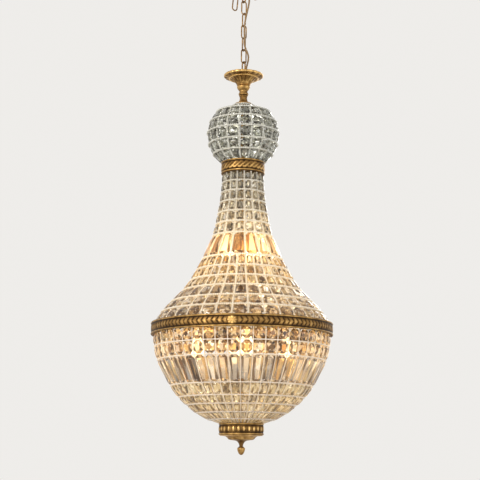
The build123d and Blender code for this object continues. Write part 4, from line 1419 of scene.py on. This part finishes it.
@dataclass
class Basket:
    """The four nets that make the balloon: ball, neck, skirt and bowl, in millimetres."""

    ball_columns: int = 17
    neck_columns: int = 17
    bowl_columns: int = 45
    ball_turn: float = 3.7
    neck_turn: float = -6.5
    bowl_turn: float = 3.1
    ball_radius: float = 97.0
    ball_drop: float = 84.0
    ball_mouth: float = 28.0
    cap_inset: float = 5.4
    ball_latitudes: tuple[float, ...] = (41.0, 21.5, 2.8, -16.5, -34.5)
    neck_profile: Profile = (
        (53.6, 0.3), (54.2, 27.0), (56.3, 55.0), (59.8, 84.0),
        (65.3, 114.5), (71.0, 145.5), (79.0, 179.0), (107.5, 245.0),
    )
    skirt_profile: Profile = (
        (107.5, 0.0), (124.5, 31.0), (140.5, 60.5), (162.5, 90.0),
        (193.0, 121.0), (219.0, 149.5), (237.0, 178.7),
    )
    bowl_profile: Profile = (
        (239.0, 0.3), (236.5, 34.0), (227.5, 70.7), (191.5, 139.5), (168.0, 170.0),
        (146.0, 190.7), (120.0, 211.7), (90.0, 228.7), (58.0, 239.2),
    )
    strings: Profile = ((4.0, 6.2), (4.0, 5.6), (3.6, 5.8), (3.0, 4.0))
    gap: float = 0.3

    @staticmethod
    def dropped(profile: Profile, start_z: float) -> np.ndarray:
        """A profile of (radius, drop) in millimetres as levels of (radius, height) in metres."""
        return np.array(profile) * (MM, -MM) + (0.0, start_z)

    def ball_levels(self, top_z: float, end_z: float) -> np.ndarray:
        """The ball's levels: circles of latitude between its two mouths.

        Args:
            top_z: The height of the upper mouth.
            end_z: The height of the lower mouth.

        Returns:
            The levels of (radius, height), in metres.
        """
        radius, middle_z = self.ball_radius * MM, top_z - self.ball_drop * MM
        latitudes = np.radians(self.ball_latitudes)
        rings = np.stack([np.cos(latitudes), np.sin(latitudes)], -1) * radius + (0.0, middle_z)
        mouth = (self.ball_mouth * MM, top_z)
        return np.array([mouth, *rings, (sqrt(radius**2 - (middle_z - end_z) ** 2), end_z)])

    def nets(self) -> dict[str, Net]:
        """The four nets, hung from the frame's own cap, bands and ring.

        Two columns of the skirt stand under each one of the neck.

        Returns:
            The nets by name.
        """
        cap_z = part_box("ball_cap")[0].z
        neck_low, neck_high = (corner.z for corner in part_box("neck_band"))
        ring_low, ring_high = (corner.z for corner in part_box("main_ring"))
        gap, lap = self.gap * MM, 0.2 * MM
        skirt_columns = 2 * self.neck_columns
        skirt_turn = self.neck_turn + 180 / skirt_columns
        skirt_z = neck_low - self.neck_profile[-1][1] * MM
        ball = self.ball_levels(cap_z - self.cap_inset * MM, neck_high + gap)
        neck = self.dropped(self.neck_profile, neck_low)
        skirt = self.dropped(self.skirt_profile, skirt_z)
        bowl = self.dropped(self.bowl_profile, ring_low)
        turns = (self.ball_turn, self.neck_turn, skirt_turn, self.bowl_turn)
        columns = (self.ball_columns, self.neck_columns, skirt_columns, self.bowl_columns)
        strings = [(strand * MM, space * MM) for strand, space in self.strings]
        levels = (ball, neck, skirt, bowl)
        ends = (
            (cap_z - gap, neck_high + gap),
            (neck_low - gap, skirt_z + lap),
            (skirt_z - lap, ring_high + gap),
            (ring_low - gap, bowl[-1, 1]),
        )
        rows = zip(("ball", "neck", "skirt", "bowl"), columns, turns, strings, levels, ends)
        return {
            name: Net(count, turn, *string, level, *end)
            for name, count, turn, string, level, end in rows
        }

    def make(
        self, crystal: dict[str, bpy.types.Material], beads: dict[str, bpy.types.Material]
    ) -> None:
        """Build the crystals, prisms, strings and hoops of every net.

        Args:
            crystal: A material for each node of crystals.
            beads: A material for each net's beads.
        """
        nets = self.nets()
        rows = (
            ("ball", "ball_crystals", range(6)),
            ("neck", "neck_crystals", range(6)),
            ("neck", "neck_prisms", range(6, 7)),
            ("skirt", "skirt_upper_crystals", range(3)),
            ("skirt", "skirt_lower_crystals", range(3, 6)),
            ("bowl", "bowl_upper_crystals", range(2)),
            ("bowl", "bowl_prisms", range(2, 3)),
            ("bowl", "bowl_lower_crystals", range(3, 8)),
        )
        for place, node, numbers in rows:
            shape = nets[place].crystals(numbers)
            piece = finished(shape, f"{node}_cut", "chandelier", smooth=False)
            dress(piece, crystal[node], Slot.CRYSTAL, node)
            LOG.info("%s: %d rows", node, len(numbers))
        hoop_levels = {
            "ball": range(6),
            "neck": range(1, 8),
            "skirt": range(1, 6),
            "bowl": range(1, 8),
        }
        for place, net in nets.items():
            strings = finished(net.upright_strings(), f"{place}_strands_beads", "chandelier")
            dress(strings, beads[place], Slot.BEADS, f"{place}_strands")
            hoops = finished(net.hoops(hoop_levels[place]), f"{place}_hoops_beads", "chandelier")
            dress(hoops, beads[place], Slot.BEADS, f"{place}_hoops")
            LOG.info("%s: strings and hoops of beads", place)


# ------------------------------------------ Bands -----------------------------------------


class Relief(Enum):
    """The ornament cast on a band."""

    LAUREL = "laurel"
    BRAID = "braid"
    EGGS = "eggs"


@dataclass
class Band:
    """A cast bronze band: smooth rims above and below a recessed field with ornament.

    The field's height over its ground, from 0 to 1, is a formula of the turn round the band and
    of the place across it, from -1 at the lower rim to 1 at the upper one.
    """

    node: str
    body: str
    relief: Relief
    repeats: int
    inner: float
    wall: float
    flange: float
    segments: int
    rim: float = 5.0 * MM
    recess: float = 2.0 * MM
    front_turn: float = 0.0
    field_rows: int = 17
    field_shine: float = 0.95
    rim_shine: float = 0.75
    wall_shine: float = 0.4

    def laurel(self, turn: np.ndarray, across: np.ndarray) -> np.ndarray:
        """Leaf pairs that run outwards from a boss at the front and one at the back.

        A leaf is a sine along the band, drawn back with the distance from the middle line, under
        a half ellipse across it; the boss is a cone with eight petals.

        Args:
            turn: Angles round the band from its front, in radians.
            across: Places across the field, from -1 to 1.

        Returns:
            The heights, from 0 to 1.
        """
        way = np.abs((turn + pi / 2) % pi - pi / 2)
        phase = (way / (2 * pi) * self.repeats + 0.62 * np.abs(across)) % 1.0
        width = np.sqrt(np.clip(1 - (across / 0.86) ** 2, 0, 1))
        leaf = np.clip(np.sin(pi * phase) - 0.12, 0, 1) * width
        vein = 0.3 * np.exp(-(((phase - 0.5) / 0.1) ** 2))
        stem = 0.55 * np.exp(-((across / 0.1) ** 2))
        boss = np.clip(1.3 - np.hypot(way * 14.5, across * 0.78) * 1.45, 0, 1)
        petals = 0.82 + 0.18 * np.cos(8 * np.arctan2(across, way * 16 + 1e-6))
        leaves = np.maximum(np.maximum(leaf - vein, stem), 0)
        return np.where(boss > 0, np.sqrt(np.clip(boss * 2, 0, 1)) * petals, leaves)

    def braid(self, turn: np.ndarray, across: np.ndarray) -> np.ndarray:
        """Three strands that swing across the field as sines, a third of a swing apart.

        Args:
            turn: Angles round the band from its front, in radians.
            across: Places across the field, from -1 to 1.

        Returns:
            The heights, from 0 to 1.
        """
        height = np.zeros_like(turn + across)
        notches = 0.86 + 0.14 * np.cos(turn * self.repeats * 9 + across * 4)
        for strand in range(3):
            swing = turn * self.repeats + strand * 2 * pi / 3
            off_middle = (across - 0.56 * np.sin(swing)) / 0.36
            over = 0.75 + 0.25 * np.cos(swing + pi / 4)
            bump = np.sqrt(np.clip(1 - off_middle**2, 0, 1)) * over
            height = np.maximum(height, bump * notches)
        return height

    def eggs(self, turn: np.ndarray, across: np.ndarray) -> np.ndarray:
        """Upright eggs, half ellipsoids in a thin shell, with a dart between each two.

        Args:
            turn: Angles round the band from its front, in radians.
            across: Places across the field, from -1 to 1.

        Returns:
            The heights, from 0 to 1.
        """
        phase = (turn / (2 * pi) * self.repeats) % 1.0 - 0.5
        egg = np.sqrt(np.clip(1 - (phase / 0.3) ** 2 - (across / 0.72) ** 2, 0, 1))
        shell = 0.5 * np.exp(-(((np.hypot(phase / 0.38, across / 0.9) - 1) / 0.1) ** 2))
        dart = 0.8 * np.exp(-(((np.abs(phase) - 0.5) / 0.05) ** 2))
        dart = dart * np.clip(1 - across**2, 0, 1)
        return np.maximum(np.maximum(egg, shell), dart)

    def ornament(self, turn: np.ndarray, across: np.ndarray) -> np.ndarray:
        """The field's height, from 0 to 1, which runs out at the rims.

        Args:
            turn: Angles round the band from its front, in radians.
            across: Places across the field, from -1 to 1.

        Returns:
            The heights.
        """
        patterns = {Relief.LAUREL: self.laurel, Relief.BRAID: self.braid, Relief.EGGS: self.eggs}
        edge = np.clip((1 - np.abs(across)) * 5, 0, 1)
        return patterns[self.relief](turn, across) * edge

    def section(self) -> tuple[np.ndarray, slice]:
        """The band's closed section, from its lower outer edge up and round the inside.

        Returns:
            Its (radius, height off the middle) points, and which of them lie on the field.
        """
        low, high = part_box(self.node)
        outer, half = high.x, (high.z - low.z) / 2
        field_radius = outer - self.recess
        field_half = half - self.rim
        rim_z = field_half + np.array([0.0, 0.25, 0.55, 0.85]) * (self.rim - 0.4 * MM)
        rim_radius = field_radius + np.array([0.0, 0.72, 1.0, 0.72]) * self.recess
        upper = np.array([*zip(rim_radius, rim_z), (outer - 1.2 * MM, half)])
        across = np.linspace(-1, 1, self.field_rows)[1:-1]
        field_line = np.stack([np.full(len(across), field_radius), across * field_half], -1)
        wall, step = field_radius - self.wall, half - self.flange
        inside = [(self.inner, half)]
        if self.inner < wall:
            inside += [(self.inner, step), (wall, step)]
        inside += [(radius, -z) for radius, z in reversed(inside)]
        points = np.concatenate([(upper * (1, -1))[::-1], field_line, upper, inside])
        return points, slice(len(upper), len(upper) + len(across))

    def shape(self) -> Shape:
        """The band's closed section, carried round with the ornament on its field.

        Returns:
            The surface, with its relief value at each point.
        """
        low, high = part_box(self.node)
        section, field_rows = self.section()
        profile, field_radius = section[:, :1], high.x - self.recess
        turn = around(self.segments)
        across = np.linspace(-1, 1, self.field_rows)[1:-1, None]
        height = np.zeros((len(section), self.segments))
        height[field_rows] = self.ornament(turn[None, :] - self.front_turn, across)
        radius = profile + height * (self.recess - 0.15 * MM)
        points = swept(radius, (high.z + low.z) / 2 + section[:, 1:], turn - pi / 2)
        # Relief value: the raised ornament and the rims brighter, partly real rubbing and partly a
        # painted highlight; the inner wall at a middle level.
        rim = np.clip((profile - field_radius) / self.recess, 0, 1) * self.rim_shine
        plain = np.where(profile < field_radius - 0.5 * MM, self.wall_shine, 0.0)
        relief = np.maximum(np.maximum(height * self.field_shine, rim), plain)
        faces = [grid_faces(len(section), self.segments, True, True)]
        return Shape(points.reshape(-1, 3), faces, {"relief": relief.reshape(-1)})

    def make(self, finish: bpy.types.Material) -> None:
        """Build the band over its CAD node.

        Args:
            finish: The bronze.
        """
        piece = finished(self.shape(), f"{self.node}_cast", self.body)
        dress(piece, finish, Slot.BRASS, self.node)
        LOG.info("%s: %s", self.node, self.relief.value)


# --------------------------------------- Turned pieces -------------------------------------


@dataclass
class TopCup:
    """The fluted cup under the chain: flutes, a bead, and a brim with scallops.

    Profile rows are (radius, height over the floor, flute depth, scallop depth), in millimetres.
    """


    leaves: int = 18
    segments: int = 432
    rows: tuple[tuple[float, float, float, float], ...] = (
        (5.1, -3.0, 0.0, 0.0), (18.0, -3.0, 0.0, 0.0), (19.8, -2.6, 0.0, 0.0),
        (20.6, -1.0, 0.3, 0.0), (22.4, 1.6, 0.9, 0.0), (25.2, 5.0, 1.3, 0.0),
        (28.8, 8.6, 1.5, 0.0), (33.0, 11.8, 1.4, 0.0), (36.6, 13.8, 0.9, 0.0),
        (38.2, 14.4, 0.0, 0.0), (39.0, 13.4, 0.0, 0.0), (40.6, 12.8, 0.0, 0.0),
        (42.2, 13.6, 0.0, 0.0), (42.6, 15.2, 0.0, 0.0), (44.0, 16.4, 0.0, 0.2),
        (48.0, 17.4, 0.5, 0.8), (52.4, 18.4, 0.5, 1.6), (55.0, 19.6, 0.3, 2.0),
        (56.2, 21.6, 0.0, 2.1), (56.0, 24.0, 0.0, 2.0), (54.6, 25.9, 0.0, 1.8),
        (52.6, 25.2, 0.0, 1.4), (46.0, 21.4, 0.3, 0.4), (38.0, 17.6, 0.5, 0.0),
        (30.0, 12.8, 0.4, 0.0), (24.6, 7.4, 0.2, 0.0), (20.6, 2.4, 0.0, 0.0),
        (18.6, 0.2, 0.0, 0.0), (17.0, 0.0, 0.0, 0.0), (5.1, 0.0, 0.0, 0.0),
    )

    def make(self, finish: bpy.types.Material) -> None:
        """Build the cup: each row's radius is less by its flutes' and scallops' waves.

        A flute's wave is 1 - |sin|, a scallop's the same one sharpened by a power.

        Args:
            finish: The bronze.
        """
        floor_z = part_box("top_cup")[0].z + CUP_FLOOR
        rows = np.array(self.rows)
        curves = [curve_through(rows[:, [0, column]].tolist(), 3) for column in (1, 2, 3)]
        radius = curves[0][:, :1]
        height, flutes, scallops = (curve[:, 1:] for curve in curves)
        turn = around(self.segments)
        flute = 1 - np.abs(np.sin(turn * self.leaves / 2))
        depth = np.clip(flutes, 0, None) * flute + np.clip(scallops, 0, None) * flute**2.2
        points = swept((radius - depth) * MM, floor_z + height * MM, turn)
        # Relief value: brighter on the bead and the brim's roll, partly real rubbing and partly a
        # painted highlight; darker where flutes and scallops cut in.
        worn_and_highlit_ridges = np.exp(-(((radius - 40.8) / 1.5) ** 2)) + np.exp(-(((radius - 56.0) / 1.2) ** 2))
        relief = np.clip(0.5 + 0.4 * worn_and_highlit_ridges - 0.3 * depth / 1.5 + 0.12, 0, 1)
        faces = [grid_faces(len(radius), self.segments, True, True)]
        shape = Shape(points.reshape(-1, 3), faces, {"relief": relief.reshape(-1)})
        piece = finished(shape, "top_cup_cast", "chandelier")
        dress(piece, finish, Slot.BRASS, "top_cup")
        LOG.info("top cup: %d flutes", self.leaves)


# Each profile is (radius, drop below the piece's top) in millimetres; a doubled point is a corner.
PROFILES = {
    "stem_baluster": [
        (6.7, 0), (18.6, 0), (18.6, 0), (19.0, 0.6), (19.0, 2.0), (19.0, 2.0), (17.2, 3.0),
        (17.2, 3.0), (18.3, 5.8), (18.4, 8.6), (16.6, 13.2), (13.6, 17.0), (12.3, 18.4),
        (12.3, 18.4), (11.6, 20.4), (12.0, 23.6), (12.6, 26.0), (12.6, 26.0), (13.6, 26.4),
        (14.0, 28.4), (13.4, 30.6), (12.8, 31.0), (12.8, 31.0), (6.7, 31.0), (6.7, 31.0), (6.7, 0),
    ],
    "ball_cap": [
        (6.7, 0), (10.4, 0), (10.4, 0), (11.7, 1.2), (12.0, 2.8), (11.4, 4.8), (10.5, 6.0),
        (10.5, 6.0), (10.4, 9.0), (11.4, 15.0), (14.2, 20.6), (18.6, 23.8), (21.8, 24.7),
        (21.8, 24.7), (24.6, 25.6), (25.8, 26.8), (26.0, 28.7), (26.0, 28.7), (6.7, 28.7),
        (6.7, 28.7), (6.7, 0),
    ],
    "bottom_dish": [
        (2.7, 13.0), (28.0, 11.0), (43.6, 0), (43.6, 0), (58.2, 0), (58.2, 0), (58.6, 0.6),
        (57.8, 2.0), (57.8, 2.0), (54.0, 2.4), (45.6, 2.9), (45.6, 2.9), (42.0, 4.2), (38.0, 7.6),
        (35.0, 11.4), (31.0, 13.0), (31.0, 13.0), (15.5, 15.0), (15.5, 15.0), (10.6, 17.6),
        (7.4, 21.6), (5.4, 26.6), (4.8, 30.4), (4.8, 30.4), (2.7, 30.4), (2.7, 30.4), (2.7, 13.0),
    ],
    "finial": [
        (0, 0), (2.4, 0), (2.4, 0), (2.5, 0.4), (2.5, 44.0), (2.5, 44.0), (6.5, 44.0),
        (6.5, 44.0), (6.9, 44.6), (6.7, 45.6), (6.7, 45.6), (9.4, 46.6), (10.5, 49.0),
        (10.1, 53.4), (8.6, 58.4), (6.0, 63.0), (3.2, 65.8), (0, 66.5),
    ],
}


@dataclass
class TurnedPieces:
    """The lathe-turned pieces: baluster, ball cap, bottom dish and finial."""

    segments: int = 96
    span_steps: int = 5
    low_shine: float = 0.32
    shine_gain: float = 0.42

    def make_one(self, node: str, body: str, finish: bpy.types.Material) -> None:
        """Turn one profile over its CAD node, brighter the further it stands out: partly real
        rubbing and partly a painted highlight.

        Args:
            node: The CAD node.
            body: The body that it rides on.
            finish: The brass.
        """
        top_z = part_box(node)[1].z
        points = [(radius * MM, top_z - drop * MM) for radius, drop in PROFILES[node]]
        profile = curve_through(points, self.span_steps)
        profile[:, 0] = np.clip(profile[:, 0], 0, None)
        shape = turned(profile, self.segments)
        radius = np.hypot(shape.points[:, 0], shape.points[:, 1])
        # Relief value rises with the radius: partly real rubbing and partly a painted highlight on
        # what stands out.
        shape.point_values["relief"] = self.low_shine + self.shine_gain * radius / np.max(radius)
        piece = finished(shape, f"{node}_turned", body)
        dress(piece, finish, Slot.BRASS, node)
        LOG.info("%s turned", node)

    def make(self, finish: bpy.types.Material) -> None:
        """Turn the four pieces; the dish and the finial come down on their own bodies.

        Args:
            finish: The brass.
        """
        bodies = {"bottom_dish": "dish", "finial": "finial"}
        for node in PROFILES:
            self.make_one(node, bodies.get(node, "chandelier"), finish)


# ------------------------------------------- Main -----------------------------------------


# Facet colours, brightest first, are painted light: highlights, the lamps' warmth, reflections and
# shade seen through the crystals. lamp_z, reach and glow set a painted glow near the lamps.
CRYSTALS = {
    "ball_crystals": CrystalFinish(
        "ball_crystal", (0.90, 0.90, 0.84), (0.60, 0.61, 0.52), (0.30, 0.29, 0.22),
        (0.06, 0.05, 0.035),
    ),
    "neck_crystals": CrystalFinish(
        "neck_crystal", (0.93, 0.91, 0.82), (0.70, 0.65, 0.50), (0.42, 0.34, 0.20),
        (0.09, 0.06, 0.03), lamp_z=-0.87, reach=0.10, glow=0.3,
    ),
    "neck_prisms": CrystalFinish(
        "neck_prism", (0.98, 0.93, 0.80), (0.92, 0.70, 0.36), (0.55, 0.30, 0.10),
        (0.16, 0.08, 0.03), lamp_z=-0.88, reach=0.06, glow=0.45, clear=0.8,
    ),
    "skirt_upper_crystals": CrystalFinish(
        "skirt_upper_crystal", (0.95, 0.91, 0.80), (0.82, 0.64, 0.34), (0.46, 0.28, 0.10),
        (0.12, 0.07, 0.03), lamp_z=-0.93, reach=0.09, glow=0.3,
    ),
    "skirt_lower_crystals": CrystalFinish(
        "skirt_lower_crystal", (0.94, 0.90, 0.82), (0.74, 0.57, 0.32), (0.40, 0.25, 0.11),
        (0.12, 0.07, 0.035), lamp_z=-1.0, reach=0.12, glow=0.15,
    ),
    "bowl_upper_crystals": CrystalFinish(
        "bowl_upper_crystal", (0.96, 0.93, 0.86), (0.88, 0.62, 0.28), (0.45, 0.25, 0.10),
        (0.10, 0.06, 0.03), lamp_z=-1.15, reach=0.07, glow=0.35,
    ),
    "bowl_prisms": CrystalFinish(
        "bowl_prism", (0.95, 0.92, 0.86), (0.86, 0.60, 0.28), (0.46, 0.44, 0.42),
        (0.14, 0.08, 0.04), lamp_z=-1.17, reach=0.07, glow=0.3, clear=0.8,
    ),
    "bowl_lower_crystals": CrystalFinish(
        "bowl_lower_crystal", (0.96, 0.92, 0.78), (0.88, 0.76, 0.48), (0.60, 0.46, 0.24),
        (0.20, 0.13, 0.06), lamp_z=-1.28, reach=0.12, glow=0.2,
    ),
}

# After the two colours come lamp_z, reach and glow: a painted glow near the lamps.
BEADS = {
    "ball": BeadFinish("ball_beads", (0.93, 0.92, 0.84), (0.74, 0.72, 0.62)),
    "neck": BeadFinish("neck_beads", (0.95, 0.90, 0.80), (0.80, 0.73, 0.60), -0.90, 0.14, 0.35),
    "skirt": BeadFinish("skirt_beads", (0.94, 0.88, 0.78), (0.80, 0.70, 0.58), -0.95, 0.16, 0.3),
    "bowl": BeadFinish("bowl_beads", (0.90, 0.83, 0.77), (0.74, 0.65, 0.60), -1.18, 0.16, 0.25),
}

BANDS = (
    Band("neck_band", "chandelier", Relief.BRAID, 9, 50.0 * MM, 2.5 * MM, 2.5 * MM, 480),
    Band(
        "main_band", "chandelier", Relief.LAUREL, 112, 245.3 * MM, 2.7 * MM, 0.0, 1680,
        front_turn=radians(-5.7),
    ),
    Band("bottom_band", "chandelier", Relief.EGGS, 26, 47.0 * MM, 2.5 * MM, 2.5 * MM, 520),
)


def middle_z(node: str) -> float:
    """The height of a CAD node's middle."""
    low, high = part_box(node)
    return (low.z + high.z) / 2


def dress_frame(finishes: dict[str, bpy.types.Material]) -> None:
    """Give the CAD nodes that stay their materials.

    Args:
        finishes: The materials by name.
    """
    held = {
        "hook": ("ceiling_hook", "canopy", "canopy_collar"),
        "tube": ("central_tube", "tube_nuts", "tube_plug"),
        "spider": ("neck_spider", "main_spider", "bottom_plate"),
        "arm": ("upper_lamp_arms", "lower_lamp_arms", "main_ring"),
        "steel": ("mounting_bracket", "hook_nut"),
        "sleeve": ("upper_lamp_holders", "lower_lamp_holders"),
        "terminal": ("terminal_block", "cord_grommet", "cord_bush"),
        "upper_bulb": ("upper_bulbs",),
        "lower_bulb": ("lower_bulbs",),
    }
    for name, nodes in held.items():
        for node in nodes:
            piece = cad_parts[node]
            piece.data.materials.clear()
            piece.data.materials.append(finishes[name])
        LOG.info("%s on %d nodes", name, len(nodes))


def main() -> None:
    """Build the studio and the chandelier from the ceiling down."""
    logging.basicConfig(level=logging.INFO, format="%(message)s")
    bpy.context.scene.view_settings.view_transform = "Standard"
    Studio().make()
    axes = ChainAxes()
    SupplyCord(axes).make(CordFinish().material())
    patina_group()
    lamplight_group()
    painted_facet_light_group()
    tube_brass = BrassFinish("tube_brass", wear_and_highlight=0.62, grain=40.0).material()
    steel, steel_shade = (0.62, 0.63, 0.64), (0.48, 0.49, 0.5)
    ivory, ivory_shade = (0.86, 0.80, 0.66), (0.78, 0.70, 0.54)
    brown, brown_shade = (0.13, 0.10, 0.07), (0.08, 0.06, 0.04)
    finishes = {
        "chain": BrassFinish("chain_brass", wear_and_highlight=0.52, grain=90.0).material(),
        "hook": BrassFinish("hook_brass", wear_and_highlight=0.5, grain=45.0).material(),
        "cast": BrassFinish("cast_bronze", grain=70.0).material(),
        "tube": tube_brass,
        "spider": tube_brass,
        "arm": BrassFinish("arm_brass", wear_and_highlight=0.4, grain=50.0).material(),
        "steel": PlainFinish("zinc_steel", steel, steel_shade, 0.35, 1.0).material(),
        "sleeve": PlainFinish("ivory_sleeve", ivory, ivory_shade, 0.45).material(),
        "terminal": PlainFinish("moulded_bush", brown, brown_shade, 0.5).material(),
        "upper_bulb": BulbFinish("upper_bulb_glass", middle_z("upper_bulbs")).material(),
        "lower_bulb": BulbFinish("lower_bulb_glass", middle_z("lower_bulbs")).material(),
    }
    Chain(axes).make(finishes["chain"])
    TopLoop(axes).make(finishes["chain"])
    TopCup().make(finishes["cast"])
    TurnedPieces().make(finishes["cast"])
    crystal = {node: finish.material() for node, finish in CRYSTALS.items()}
    beads = {place: finish.material() for place, finish in BEADS.items()}
    Basket().make(crystal, beads)
    for band in BANDS:
        band.make(finishes["cast"])
    dress_frame(finishes)


if __name__ == "__main__":
    main()
